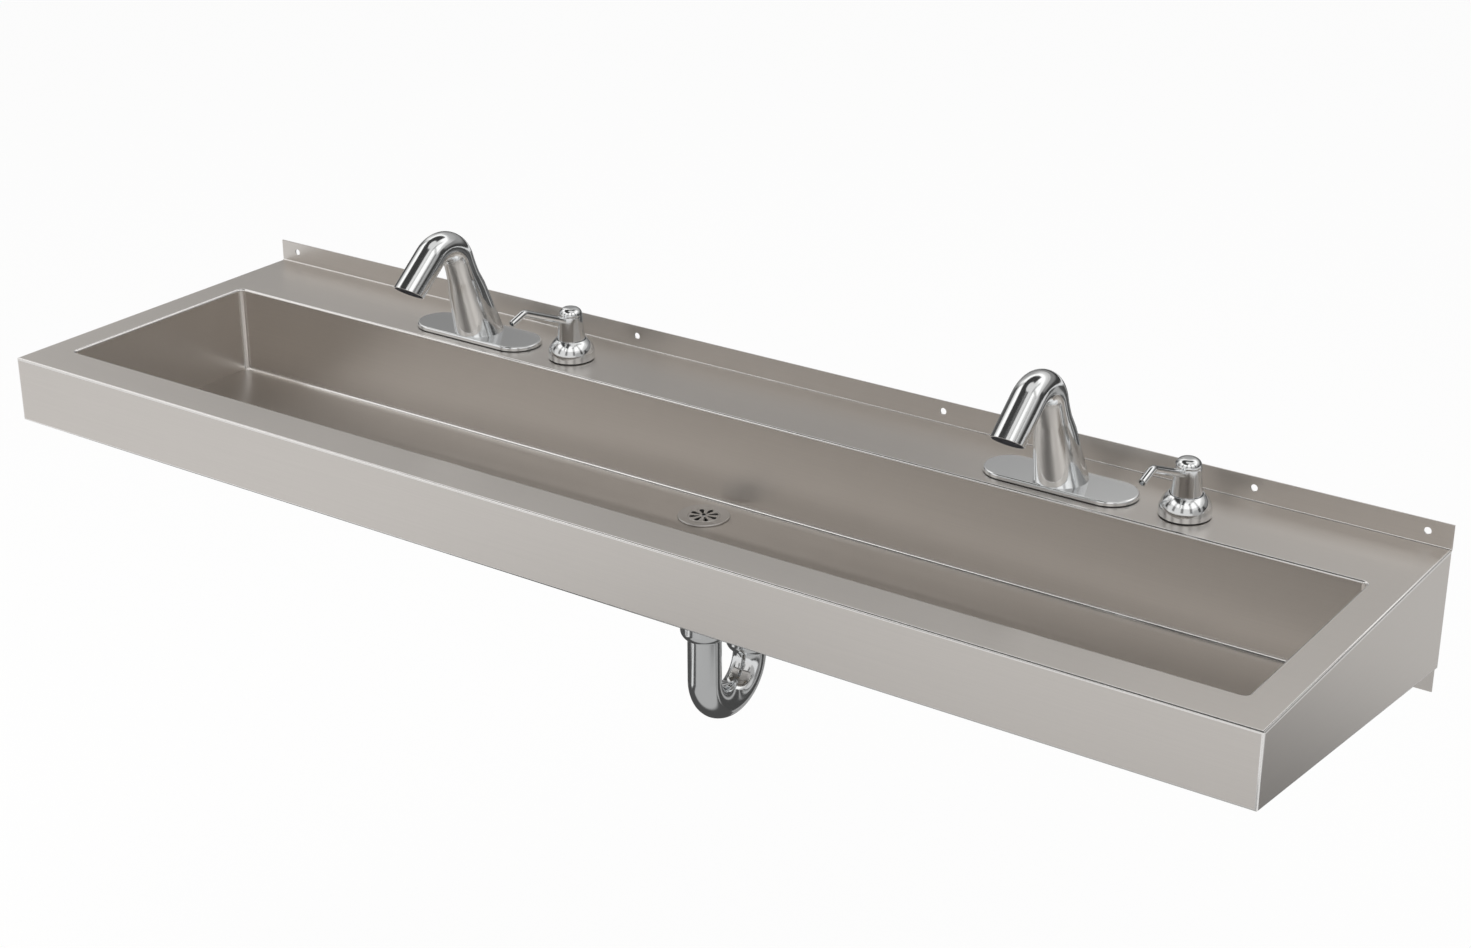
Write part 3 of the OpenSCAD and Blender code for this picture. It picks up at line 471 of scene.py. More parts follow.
@dataclass(frozen=True)
class Moulded(Finish):
    """Moulded rubber, fibre or plastic with a fine grain."""

    name: str
    slot: Slot
    tint: Colour
    shade: Colour
    rough: float = 0.5
    grain: float = 900.0
    depth: float = 0.00008
    coat: float = 0.0

    def sockets(self, tree: Tree) -> dict:
        """Two close tones with a fine grain in height.

        Args:
            tree: the material's tree.

        Returns:
            Values and links by socket name.
        """
        grain = tree.noise(tree.place(), self.grain, detail=3.0, rough=0.6)
        cloud = tree.noise(tree.place(), 45.0, detail=3.0)
        return {
            "Base Color": tree.blend(cloud, self.shade, self.tint),
            "Roughness": self.rough - 0.06 + grain * 0.12,
            "Coat Weight": self.coat,
            "Normal": tree.bump(grain, strength=0.25, distance=self.depth),
        }


class Finishes:
    """All finishes of the sink, with the record's slot of each."""

    sheet = BrushedSteel("brushed_steel", Slot.STAINLESS, Grain.ALONG_X)
    end_sheet = BrushedSteel("brushed_steel_ends", Slot.STAINLESS, Grain.ALONG_Y)
    strainer = BrushedSteel(
        "dull_strainer", Slot.STRAINER, Grain.EVEN, (0.70, 0.685, 0.67), rough=0.34, streak_depth=0.00003
    )
    # Bends: lower roughness for finer brushing, and a lighter tint that is a painted highlight along each
    # bend.
    edge = BrushedSteel(
        "bend_painted_highlight", Slot.STAINLESS, Grain.EVEN, (0.93, 0.915, 0.90), rough=0.17, streak_depth=0.00001
    )
    chrome = Chrome("chrome", Slot.CHROME)
    # Near-black for the drain's bore, petal slots and screw socket: painted shade in those recesses.
    painted_shade = Moulded(
        "painted_recess_shade", Slot.STRAINER, (0.010, 0.009, 0.008), (0.004, 0.004, 0.004), rough=0.7, grain=600.0
    )
    brass = TurnedMetal("turned_brass", Slot.BRASS, (0.72, 0.55, 0.27))
    spring = TurnedMetal("drawn_wire", Slot.SPRING, (0.55, 0.55, 0.56), rough=0.35)
    rubber = Moulded("black_rubber", Slot.RUBBER, (0.03, 0.03, 0.03), (0.018, 0.018, 0.018), rough=0.62)
    fibre = Moulded(
        "pressed_fibre", Slot.FIBRE, (0.34, 0.23, 0.13), (0.22, 0.14, 0.08),
        rough=0.8, grain=1400.0, depth=0.0002
    )
    dark_plastic = Moulded(
        "dark_plastic", Slot.DARK_PLASTIC, (0.07, 0.07, 0.075), (0.045, 0.045, 0.05), rough=0.38
    )
    lens = Moulded(
        "sensor_lens", Slot.LENS, (0.012, 0.009, 0.010), (0.006, 0.004, 0.005),
        rough=0.12, grain=60.0, depth=0.00001, coat=0.6
    )
    bottle = Moulded(
        "bottle_plastic", Slot.BOTTLE, (0.80, 0.80, 0.77), (0.72, 0.72, 0.69),
        rough=0.42, grain=500.0, depth=0.00005
    )
    white_plastic = Moulded(
        "white_plastic", Slot.WHITE_PLASTIC, (0.78, 0.78, 0.76), (0.70, 0.70, 0.68), rough=0.36
    )


# Modelling


class Bench:
    """Blender's modelling operators, worked as by hand on one piece at a time."""

    @staticmethod
    def clear() -> None:
        """Leaves edit mode and selects nothing."""
        if bpy.context.mode != "OBJECT":
            bpy.ops.object.mode_set(mode="OBJECT")
        bpy.ops.object.select_all(action="DESELECT")

    @staticmethod
    def edit() -> None:
        """Enters edit mode with everything selected."""
        bpy.ops.object.mode_set(mode="EDIT")
        bpy.ops.mesh.select_mode(type="VERT")
        bpy.ops.mesh.select_all(action="SELECT")

    @staticmethod
    def only(piece: bpy.types.Object) -> None:
        """Makes a piece the only selected and active one.

        Args:
            piece: the piece.
        """
        Bench.clear()
        piece.select_set(True)
        bpy.context.view_layer.objects.active = piece

    @staticmethod
    def open(piece: bpy.types.Object) -> None:
        """Opens a piece for editing, with everything selected."""
        Bench.only(piece)
        Bench.edit()

    @staticmethod
    def named(name: str) -> bpy.types.Object:
        """Names the active object and its mesh, back in object mode.

        Args:
            name: the piece's name.

        Returns:
            The piece.
        """
        if bpy.context.mode != "OBJECT":
            bpy.ops.object.mode_set(mode="OBJECT")
        piece = bpy.context.view_layer.objects.active
        piece.name = piece.data.name = name
        return piece

    @staticmethod
    def settle() -> None:
        """Puts the active object's place into its mesh."""
        bpy.ops.object.transform_apply(location=True, rotation=True, scale=True)

    @staticmethod
    def pick(part: str, test: Callable[[Vector], bool]) -> None:
        """Selects the parts of the edited mesh whose points all pass a test.

        Args:
            part: "VERT" or "FACE".
            test: says whether a point belongs.
        """
        bpy.ops.mesh.select_mode(type=part)
        bpy.ops.mesh.select_all(action="DESELECT")
        mesh = bmesh.from_edit_mesh(bpy.context.edit_object.data)
        if part == "VERT":
            for vertex in mesh.verts:
                vertex.select = test(vertex.co)
        else:
            for face in mesh.faces:
                if all(test(vertex.co) for vertex in face.verts):
                    face.select_set(True)
        mesh.select_flush_mode()
        bmesh.update_edit_mesh(bpy.context.edit_object.data)

    @staticmethod
    def close() -> None:
        """Merges doubles and turns all faces outwards."""
        bpy.ops.mesh.select_all(action="SELECT")
        bpy.ops.mesh.remove_doubles(threshold=MERGE)
        bpy.ops.mesh.normals_make_consistent(inside=False)

    @staticmethod
    def apply(piece: bpy.types.Object, kind: str, **settings: object) -> None:
        """Adds a modifier to a piece, sets it and applies it.

        Args:
            piece: the piece.
            kind: the modifier's type.
            settings: its properties.
        """
        Bench.only(piece)
        bpy.ops.object.modifier_add(type=kind)
        modifier = piece.modifiers[-1]
        for key, value in settings.items():
            setattr(modifier, key, value)
        bpy.ops.object.modifier_apply(modifier=modifier.name)

    @staticmethod
    def smooth(piece: bpy.types.Object) -> None:
        """Shades a piece smooth up to an angle, with broad faces kept flat.

        Args:
            piece: the piece.
        """
        Bench.only(piece)
        bpy.ops.object.shade_smooth_by_angle(angle=SMOOTH_ANGLE)
        Bench.apply(piece, "WEIGHTED_NORMAL", keep_sharp=True)

    @staticmethod
    def cylinder(
        name: str, sides: int, radius: float, depth: float, place: Sequence[float], turned: float = 0.0
    ) -> bpy.types.Object:
        """Adds an upright cylinder or prism about a place, turned about its own axis.

        Args:
            name: the piece's name.
            sides: its number of sides.
            radius: over the corners.
            depth: its height.
            place: its middle.
            turned: its turn about its own axis.

        Returns:
            The piece.
        """
        Bench.clear()
        bpy.ops.mesh.primitive_cylinder_add(
            vertices=sides, radius=radius, depth=depth, location=place, rotation=(0, 0, turned)
        )
        Bench.settle()
        return Bench.named(name)

    @staticmethod
    def box(
        name: str, size: Sequence[float], place: Sequence[float], turned: float = 0.0
    ) -> bpy.types.Object:
        """Adds a box about a place, turned about its upright axis.

        Args:
            name: the piece's name.
            size: along X, Y and Z.
            place: its middle.
            turned: its turn about its upright axis.

        Returns:
            The piece.
        """
        Bench.clear()
        bpy.ops.mesh.primitive_cube_add(size=1, location=place, rotation=(0, 0, turned), scale=size)
        Bench.settle()
        return Bench.named(name)

    @staticmethod
    def join(piece: bpy.types.Object, *others: bpy.types.Object) -> None:
        """Joins other pieces into one.

        Args:
            piece: the piece that stays.
            others: what becomes part of it.
        """
        Bench.only(piece)
        for other in others:
            other.select_set(True)
        bpy.ops.object.join()

    @staticmethod
    def lathe(name: str, outline: Outline, foot: Vector, steps: int = 96) -> bpy.types.Object:
        """Spins an outline about the upright line through a foot.

        Args:
            name: the piece's name.
            outline: (radius, height) points; both ends on the axis, or the same point twice.
            foot: where the outline's heights start.
            steps: faces round the piece.

        Returns:
            The closed piece.
        """
        Bench.clear()
        bpy.ops.mesh.primitive_plane_add(size=MERGE, location=(0, 0, 0))
        Bench.edit()
        bpy.ops.mesh.merge(type="CENTER")
        spots = [foot + Vector((radius, 0, height)) for radius, height in outline]
        bpy.ops.transform.translate(value=spots[0])
        for before, after in zip(spots, spots[1:]):
            bpy.ops.mesh.extrude_region_move(TRANSFORM_OT_translate={"value": after - before})
        bpy.ops.mesh.select_all(action="SELECT")
        bpy.ops.mesh.spin(steps=steps, angle=math.tau, center=foot, axis=(0, 0, 1))
        Bench.close()
        return Bench.named(name)

    @staticmethod
    def turn(angle: float, axis: str, centre: Sequence[float]) -> None:
        """Turns what is selected by the right hand; without a window Blender turns the other way.

        Args:
            angle: the turn by the right hand.
            axis: "X", "Y" or "Z".
            centre: a point on the axis.
        """
        bpy.ops.transform.rotate(
            value=-angle, orient_axis=axis, orient_type="GLOBAL", center_override=centre
        )

    @staticmethod
    def carve(piece: bpy.types.Object, tool: bpy.types.Object, operation: str = "DIFFERENCE") -> None:
        """Cuts a piece with another, which is then thrown away."""
        Bench.apply(piece, "BOOLEAN", operation=operation, object=tool, solver="EXACT")
        bpy.data.objects.remove(tool)

    @staticmethod
    def copy(piece: bpy.types.Object, name: str) -> bpy.types.Object:
        """Copies a piece with its own mesh.

        Args:
            piece: what is copied.
            name: the copy's name.

        Returns:
            The copy.
        """
        Bench.only(piece)
        bpy.ops.object.duplicate()
        return Bench.named(name)

    @staticmethod
    def arc(centre: tuple[float, float], radius: float, start: float, end: float, count: int) -> Outline:
        """Points on an arc of an outline, from one angle in degrees to another."""
        angles = [math.radians(start + (end - start) * i / count) for i in range(count + 1)]
        return [(centre[0] + radius * math.cos(a), centre[1] + radius * math.sin(a)) for a in angles]


class RoundBar:
    """A round bar drawn out ring by ring: along, round a bend, wider or narrower."""

    def __init__(self, centre: Vector, heading: Vector, radius: float, sides: int = 64) -> None:
        """Starts with one ring.

        Args:
            centre: the ring's middle.
            heading: up or down the Z axis.
            radius: the ring's radius.
            sides: points round the ring.
        """
        self.centre = centre.copy()
        self.heading = heading.normalized()
        self.radius = radius
        Bench.clear()
        bpy.ops.mesh.primitive_circle_add(
            vertices=sides, radius=radius, fill_type="NOTHING", location=centre
        )
        Bench.settle()
        Bench.edit()

    def go(self, length: float, radius: float | None = None) -> "RoundBar":
        """Draws the ring on, to another radius where one is given.

        Args:
            length: how far; less than nothing goes back.
            radius: the ring's new radius, if any.

        Returns:
            The bar.
        """
        bpy.ops.mesh.extrude_region_move(TRANSFORM_OT_translate={"value": self.heading * length})
        self.centre += self.heading * length
        if radius is not None and abs(radius - self.radius) > MERGE:
            share = radius / self.radius
            bpy.ops.transform.resize(value=(share, share, share), center_override=self.centre)
            self.radius = radius
        return self

    def follow(self, outline: Outline) -> "RoundBar":
        """Draws the ring through (distance, radius) points, distances counted from here.

        Args:
            outline: the points.

        Returns:
            The bar.
        """
        done = 0.0
        for distance, radius in outline:
            self.go(distance - done, radius)
            done = distance
        return self

    def bend(self, pivot: Vector, axis: Vector, angle: float, steps: int) -> "RoundBar":
        """Spins the ring round a pivot by the right hand about an axis.

        Args:
            pivot: a point on the axis.
            axis: the axis's direction.
            angle: the turn.
            steps: rings round the bend.

        Returns:
            The bar.
        """
        bpy.ops.mesh.spin(steps=steps, angle=-angle, center=pivot, axis=axis)
        turn = Matrix.Rotation(angle, 3, axis)
        self.centre = pivot + turn @ (self.centre - pivot)
        self.heading = turn @ self.heading
        return self

    def finish(self, name: str) -> bpy.types.Object:
        """Closes both ends and names the piece.

        Args:
            name: the piece's name.

        Returns:
            The closed piece.
        """
        bpy.ops.mesh.select_all(action="SELECT")
        bpy.ops.mesh.remove_doubles(threshold=MERGE)
        bpy.ops.mesh.select_mode(type="EDGE")
        bpy.ops.mesh.select_all(action="DESELECT")
        bpy.ops.mesh.select_non_manifold()
        if any(edge.select for edge in bmesh.from_edit_mesh(bpy.context.edit_object.data).edges):
            bpy.ops.mesh.edge_face_add()
        Bench.close()
        return Bench.named(name)


class Fitter:
    """Gives finished pieces their finish and their body, and hides the nodes that they stand for."""

    def __init__(self, nodes: dict[str, bpy.types.Object]) -> None:
        """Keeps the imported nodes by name."""
        self.nodes = nodes

    def fit(
        self, piece: bpy.types.Object, finish: Finish, body: Body, *nodes: str
    ) -> bpy.types.Object:
        """Dresses one piece and fits it to the frame.

        Args:
            piece: the piece, with its place in its mesh.
            finish: its surface, with the record's slot.
            body: the body that carries it.
            nodes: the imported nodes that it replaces.

        Returns:
            The piece.
        """
        Bench.smooth(piece)
        finish.give(piece)
        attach(piece, body.value)
        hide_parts(*nodes)
        faces = len(piece.data.polygons)
        LOG.info("%s: %d faces, on %s, for %s", piece.name, faces, body.value, ", ".join(nodes))
        return piece

    def refine(self, node: str, name: str, finish: Finish) -> bpy.types.Object:
        """Makes a merged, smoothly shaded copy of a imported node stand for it.

        Args:
            node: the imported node.
            name: the copy's name.
            finish: its surface, with the record's slot.

        Returns:
            The copy.
        """
        Bench.clear()
        made = bpy.data.objects.new(name, self.nodes[node].data.copy())
        bpy.context.scene.collection.objects.link(made)
        Bench.open(made)
        bpy.ops.mesh.customdata_custom_splitnormals_clear()
        bpy.ops.mesh.remove_doubles(threshold=MERGE)
        Bench.named(name)
        return self.fit(made, finish, Body.SINK, node)

    def keep(self, finish: Finish, *nodes: str) -> None:
        """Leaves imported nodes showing, with a better finish.

        Args:
            finish: their surface.
            nodes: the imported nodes.
        """
        for node in nodes:
            finish.give(self.nodes[node])
            LOG.info("%s: kept as packed, in %s", node, finish.name)


# Sub-assemblies


@dataclass
class SheetMetal:
    """The welded body: deck and apron, end panels, basin and rear skirt."""

    fitter: Fitter

    def build(self) -> None:
        """Refines the sheets, brushed along the wall, and the end panels, brushed front to back."""
        sheets = [("deck_and_apron", "deck_sheet", Finishes.sheet), ("basin", "basin_sheet", Finishes.sheet)]
        sheets.append(("rear_skirt", "skirt_sheet", Finishes.sheet))
        for side in Side:
            sheets.append((f"{side.value}_end_panel", f"{side.value}_end_sheet", Finishes.end_sheet))
        for node, name, finish in sheets:
            # The bends get the smoother finish whose lighter tint is a painted highlight.
            Finishes.edge.bends(self.fitter.refine(node, name, finish))


@dataclass
class Drain:
    """The grid strainer in the basin's floor and what clamps it."""

    fitter: Fitter
    flange_r: float = 0.0285
    flange_t: float = 0.002
    grid_r: float = 0.0175
    grid_top: float = 0.0014
    grid_t: float = 0.002
    grid_gap: float = 0.0001
    seat_slope: float = 0.0005
    seat_edge: float = 0.0002
    slot_edge: float = 0.00022
    tube_r: float = 0.0205
    tube_len: float = 0.055
    plain_len: float = 0.0061
    bore_r: float = 0.01593
    petals: int = 8
    petal_in: tuple[float, float] = (0.0056, 0.0008)
    petal_out: tuple[float, float] = (0.0133, 0.0027)
    bar_w: float = 0.004
    bar_h: float = 0.007
    bar_bite: float = 0.002
    hub_r: float = 0.0042
    screw_r: float = 0.002
    screw_len: float = 0.007
    crown: Curve = ((0.0036, 0.0), (0.0035, 0.0004), (0.0029, 0.0008), (0.0018, 0.001))
    crown_edge: float = 0.0034
    crown_low: float = 0.0004
    socket_r: float = 0.0025
    socket_h: float = 0.004
    socket_floor: float = 0.0002
    thread_pitch: float = 0.0018
    thread_depth: float = 0.0006
    nut_r: float = 0.0285
    nut_t: float = 0.008
    washer_t: float = 0.0012
    gasket_t: float = 0.005

    @property
    def centre(self) -> Vector:
        """The drain's place on the basin's floor."""
        return Vector((0, DRAIN_Y, FLOOR_Z))

    @property
    def seat(self) -> float:
        """Height of the flange's seat below the grid."""
        return self.grid_top - self.grid_t

    def build(self) -> None:
        """Builds the strainer's pieces."""
        self._body()
        self._grid()
        self._screw()
        self._clamp()

    def _in_bore(self, radius: float) -> Callable[[Vector], bool]:
        """Says whether a point lies within a radius of the drain's axis."""
        return lambda co: (co - self.centre).xy.length < radius

    def _body(self) -> None:
        """The flange with its threaded tube and its cross, with painted shade in the bore."""
        edge = self.flange_t / 2
        seat_r = self.grid_r + self.grid_gap
        outline = [(self.bore_r, -self.tube_len), (self.bore_r, self.seat - self.seat_slope)]
        outline += [(seat_r, self.seat), (seat_r, self.grid_top - self.seat_edge)]
        outline += [(seat_r + EDGE, self.grid_top)]
        outline += Bench.arc((self.flange_r - edge, edge), edge, 90, -90, 12)
        outline += [(self.tube_r, 0.0), (self.tube_r, -self.plain_len)]
        outline += threads(self.tube_r, -self.plain_len, -self.tube_len, self.thread_pitch, self.thread_depth)
        outline.append(outline[0])
        piece = Bench.lathe("strainer_flange", outline, self.centre)
        low = self.seat - self.grid_gap
        Bench.join(piece, self._cross(self.centre + Vector((0, 0, low))))
        self.fitter.fit(piece, Finishes.strainer, Body.SINK, "strainer_body")
        top, inside = self.centre.z + low + MERGE, self._in_bore(self.bore_r + MERGE)
        # Painted shade: the near-black finish on the bore's inside below the cross.
        Finishes.painted_shade.line(piece, lambda co: co.z < top and inside(co))

    def _cross(self, top: Vector) -> bpy.types.Object:
        """The cross with its hub, between the petals, that the screw holds on to.

        Args:
            top: the middle of the cross's top.

        Returns:
            The cross.
        """
        middle = top - Vector((0, 0, self.bar_h / 2))
        hub = Bench.cylinder("cross", 32, self.hub_r, self.bar_h, middle)
        size = (2 * self.bore_r + self.bar_bite, self.bar_w, self.bar_h - 2 * self.grid_gap)
        for quarter in range(2):
            turned = math.pi / self.petals + quarter * math.pi / 2
            Bench.carve(hub, Bench.box("bar", size, middle, turned), "UNION")
        Bench.carve(hub, Bench.cylinder("screw_hole", 24, self.screw_r + FIT, self.bar_h * 2, middle))
        return hub

    def _petal(self) -> bpy.types.Object:
        """One petal slot as a cutter: a round bar squeezed at its inner end.

        Returns:
            The cutter, about the origin.
        """
        (r_in, w_in), (r_out, w_out) = self.petal_in, self.petal_out
        petal = Bench.cylinder("petal", 28, w_out, self.grid_t * 3, (r_out, 0, 0))
        Bench.edit()
        Bench.pick("VERT", lambda co: co.x < r_out - MERGE)
        share = w_in / w_out
        bpy.ops.transform.resize(value=(share, share, 1), center_override=(r_out, 0, 0))
        bpy.ops.transform.translate(value=(r_in - r_out, 0, 0))
        Bench.clear()
        return petal

    def _grid(self) -> None:
        """The disc with its petal slots, each with a softened edge and painted shade inside."""
        top, r = self.grid_top, self.grid_r
        outline = [(0, self.seat), (r, self.seat), (r, top - EDGE), (r - EDGE, top), (0, top)]
        grid = Bench.lathe("drain_grid", outline, self.centre)
        first = self._petal()
        cutters = [first]
        for i in range(1, self.petals):
            cutters.append(Bench.copy(first, f"petal_{i}"))
            Bench.edit()
            Bench.turn(math.tau * i / self.petals, "Z", ORIGIN)
            Bench.clear()
        for cutter in cutters:
            Bench.only(cutter)
            bpy.ops.transform.translate(value=self.centre)
            Bench.settle()
            Bench.carve(grid, cutter)
        sharp = math.radians(60)
        Bench.apply(grid, "BEVEL", width=self.slot_edge, segments=2, limit_method="ANGLE", angle_limit=sharp)
        self.fitter.fit(grid, Finishes.strainer, Body.SINK, "strainer_grid")
        lip = self.centre.z + top - self.seat_edge
        # Painted shade: the near-black finish on the slot walls below the lip.
        Finishes.painted_shade.line(grid, lambda co: co.z < lip)

    def _screw(self) -> None:
        """The socket screw in the grid's middle, with painted shade in its socket."""
        top, r = self.grid_top, self.screw_r
        low, under = self.seat - self.screw_len, top - self.crown_low
        outline = [(0, low), (r, low), (r, under), (self.crown_edge, under)]
        outline += [(radius, top + height) for radius, height in self.crown]
        outline.append((0, top + self.crown[-1][1]))
        screw = Bench.lathe("grid_screw", outline, self.centre, 48)
        floor = self.centre.z + top + self.socket_floor
        place = Vector((*self.centre.xy, floor + self.socket_h / 2))
        socket = Bench.cylinder("socket_cutter", 6, self.socket_r, self.socket_h, place, math.pi / 6)
        Bench.carve(screw, socket)
        self.fitter.fit(screw, Finishes.strainer, Body.SINK, "strainer_screw")
        inside = self._in_bore(self.socket_r + FIT)
        # Painted shade: the near-black finish inside the socket.
        Finishes.painted_shade.line(screw, lambda co: co.z > floor - MERGE and inside(co))

    def _clamp(self) -> None:
        """The gasket, washer and nut below the floor."""
        gasket_z = -SHEET_T - self.gasket_t
        washer_z = gasket_z - self.washer_t
        bore = self.tube_r + FIT
        gasket = ring("drain_seal", self.nut_r, bore, gasket_z, -SHEET_T, self.centre, edge=0.0012)
        self.fitter.fit(gasket, Finishes.rubber, Body.SINK, "drain_gasket")
        washer = ring("drain_fibre_ring", self.nut_r, bore, washer_z, gasket_z, self.centre, edge=0.0002)
        self.fitter.fit(washer, Finishes.fibre, Body.SINK, "drain_washer")
        nut = hex_nut("drain_clamp_nut", self.nut_r, bore, washer_z - self.nut_t, washer_z, self.centre)
        self.fitter.fit(nut, Finishes.brass, Body.SINK, "drain_locknut")


@dataclass
class Trap:
    """The tailpiece and the chromed P-trap that runs to the wall."""

    fitter: Fitter
    pipe_r: float = 0.01905
    wall_t: float = 0.0012
    bend_r: float = 0.0438
    bend_z: float = -0.3015
    leg: float = 0.05
    bell_r: float = 0.027
    bell_h: float = 0.013
    bell_round: float = 0.012
    bell_rim: float = 0.02
    bell_foot: float = 0.0006
    bell_edge: float = 0.0008
    mouth_depth: float = 0.03
    thread_r: float = 0.0245
    thread_h: float = 0.012
    thread_pitch: float = 0.0018
    thread_depth: float = 0.0005
    nut_r: float = 0.0325
    nut_gap: float = 0.0003
    washer_t: float = 0.004
    lip_t: float = 0.003
    tail_r: float = 0.01588
    tail_top: float = -0.144
    tail_bottom: float = -0.2435
    arm_gap: float = 0.0003
    arm_rise: float = 0.012
    arm_reach: float = 0.04
    arm_hollow: float = 0.02
    escutcheon_r: float = 0.038
    escutcheon_d: float = 0.012
    escutcheon_gap: float = 0.0003
    escutcheon_neck: float = 0.002
    escutcheon_edge: float = 0.0004
    escutcheon_rim: float = 0.001

    @property
    def inlet(self) -> Vector:
        """Middle of the trap's inlet at the bend's height."""
        return Vector((0, DRAIN_Y, DECK_Z + self.bend_z))

    @property
    def outlet(self) -> Vector:
        """Middle of the trap's outlet at the bend's height."""
        return self.inlet + Vector((0, 2 * self.bend_r, 0))

    @property
    def socket_h(self) -> float:
        """Height of a bell with its thread."""
        return self.bell_h + self.bell_rim + self.thread_h

    @property
    def arm_z(self) -> float:
        """Height over the outlet where the arm starts to turn."""
        return self.socket_h + self.washer_t + self.lip_t + self.arm_rise

    def build(self) -> None:
        """Builds the trap from the tailpiece to the wall."""
        self._tailpiece()
        self._j_bend()
        self._nuts()
        self._arm()
        self._escutcheon()

    def _chrome(self, piece: bpy.types.Object, node: str) -> None:
        """Fits a chromed piece."""
        self.fitter.fit(piece, Finishes.chrome, Body.SINK, node)

    def _tailpiece(self) -> None:
        """The thin tube from the strainer into the trap."""
        inner, r = self.tail_r - self.wall_t, self.tail_r
        low, top = self.tail_bottom, self.tail_top
        outline = [(inner, low), (r - EDGE, low), (r, low + EDGE), (r, top - EDGE), (r - EDGE, top)]
        outline += [(inner, top), (inner, low)]
        self._chrome(Bench.lathe("tail_tube", outline, Vector((0, DRAIN_Y, DECK_Z))), "tailpiece")

    def _bell(self) -> Outline:
        """(height, radius) points of a bell and its thread, from the pipe up to the mouth.

        Returns:
            The points, upwards.
        """
        centre = (self.bell_h, self.bell_r - self.bell_round)
        curve = [(z, r) for z, r in Bench.arc(centre, self.bell_round, 160, 90, 10) if r >= self.pipe_r]
        rim, edge = self.bell_h + self.bell_rim, self.bell_edge
        points = [(curve[0][0] - self.bell_foot, self.pipe_r)] + curve
        points += [(rim - edge, self.bell_r), (rim, self.bell_r - edge), (rim, self.thread_r)]
        thread = threads(self.thread_r, rim, self.socket_h, self.thread_pitch, self.thread_depth)
        return points + [(z, r) for r, z in thread]

    def _j_bend(self) -> None:
        """The U-bend with a bell at each end, hollow at its mouths."""
        bell = self._bell()
        top = self.inlet + Vector((0, 0, self.leg + self.socket_h))
        bar = RoundBar(top, -UP, bell[-1][1], 72)
        bar.follow([(self.socket_h - z, r) for z, r in reversed(bell[:-1])])
        bar.go((bar.centre - self.inlet).z)
        bar.bend((self.inlet + self.outlet) / 2, ALONG_WALL, math.pi, 56)
        bar.follow([(z, r) for z, r in bell if z > 0])
        bar.go(0.0, self.pipe_r + FIT).go(-self.mouth_depth)
        piece = bar.finish("trap_bend")
        self._hollow(piece, top)
        self._chrome(piece, "trap_j_bend")

    def _hollow(self, piece: bpy.types.Object, top: Vector) -> None:
        """Sinks the flat mouth at a place: inset to the pipe's bore and pushed down.

        Args:
            piece: the bend.
            top: the mouth's middle.
        """
        Bench.open(piece)
        Bench.pick("FACE", lambda co: abs(co.z - top.z) < LEVEL and (co.xy - top.xy).length < self.bend_r)
        bpy.ops.mesh.extrude_region_move(TRANSFORM_OT_translate={"value": ORIGIN})
        spots = [vertex.co for vertex in piece.data.vertices]
        rim = max((spot.xy - top.xy).length for spot in spots if abs(spot.z - top.z) < LEVEL)
        share = (self.pipe_r - self.wall_t) / rim
        bpy.ops.transform.resize(value=(share, share, 1), center_override=top)
        bpy.ops.mesh.extrude_region_move(TRANSFORM_OT_translate={"value": (0, 0, -self.mouth_depth)})
        Bench.close()
        Bench.clear()

    def _nuts(self) -> None:
        """The two slip nuts and the washers inside them."""
        well = (self.thread_r + FIT, self.thread_h + self.washer_t)
        inlet_top = self.inlet + Vector((0, 0, self.leg + self.socket_h))
        outlet_top = self.outlet + Vector((0, 0, self.socket_h))
        for top, tube_r, name in ((inlet_top, self.tail_r, "inlet"), (outlet_top, self.pipe_r, "outlet")):
            foot, bore = top - Vector((0, 0, self.thread_h)), tube_r + self.nut_gap
            nut = hex_nut(f"trap_{name}_slip_nut", self.nut_r, bore, 0.0, well[1] + self.lip_t, foot, well)
            self._chrome(nut, f"trap_{name}_nut")
            r_out = self.thread_r - self.nut_gap
            washer = ring(f"trap_{name}_seal", r_out, tube_r + FIT, 0.0, self.washer_t, top, edge=0.0008)
            self.fitter.fit(washer, Finishes.rubber, Body.SINK, f"trap_{name}_washer")

    def _arm(self) -> None:
        """The arm that rises from the outlet and turns into the wall."""
        start = self.outlet + Vector((0, 0, self.bell_h / 2 + self.arm_gap))
        inner = self.pipe_r - self.wall_t
        bar = RoundBar(start, UP, inner, 72)
        bar.go(0.0, self.pipe_r)
        bar.go((self.outlet.z + self.arm_z) - start.z)
        bar.bend(bar.centre + Vector((0, self.bend_r, 0)), -ALONG_WALL, math.pi / 2, 28)
        bar.go(-bar.centre.y + self.arm_reach)
        bar.go(0.0, inner)
        bar.go(-self.arm_reach - self.arm_hollow)
        self._chrome(bar.finish("trap_wall_arm"), "trap_arm")

    def _escutcheon(self) -> None:
        """The domed cover where the arm meets the wall."""
        bore, depth, radius = self.pipe_r + self.escutcheon_gap, self.escutcheon_d, self.escutcheon_r
        neck, edge, rim = bore + self.escutcheon_neck, self.escutcheon_edge, self.escutcheon_rim
        span = radius - neck
        outline = [(bore, depth - edge), (bore + edge, depth), (neck - edge, depth)]
        outline += [(neck + span * s, (depth - rim) * (1 - s) + rim) for s in (0.0, 0.25, 0.5, 0.75, 1.0)]
        outline += [(radius, 0.0), (radius - self.escutcheon_neck, 0.0)]
        outline += [(bore, depth - self.escutcheon_neck), (bore, depth - edge)]
        foot = Vector((0, 0, self.outlet.z + self.arm_z + self.bend_r))
        piece = Bench.lathe("wall_cover", outline, foot)
        Bench.open(piece)
        Bench.turn(math.pi / 2, "X", foot)
        Bench.clear()
        self._chrome(piece, "wall_escutcheon")


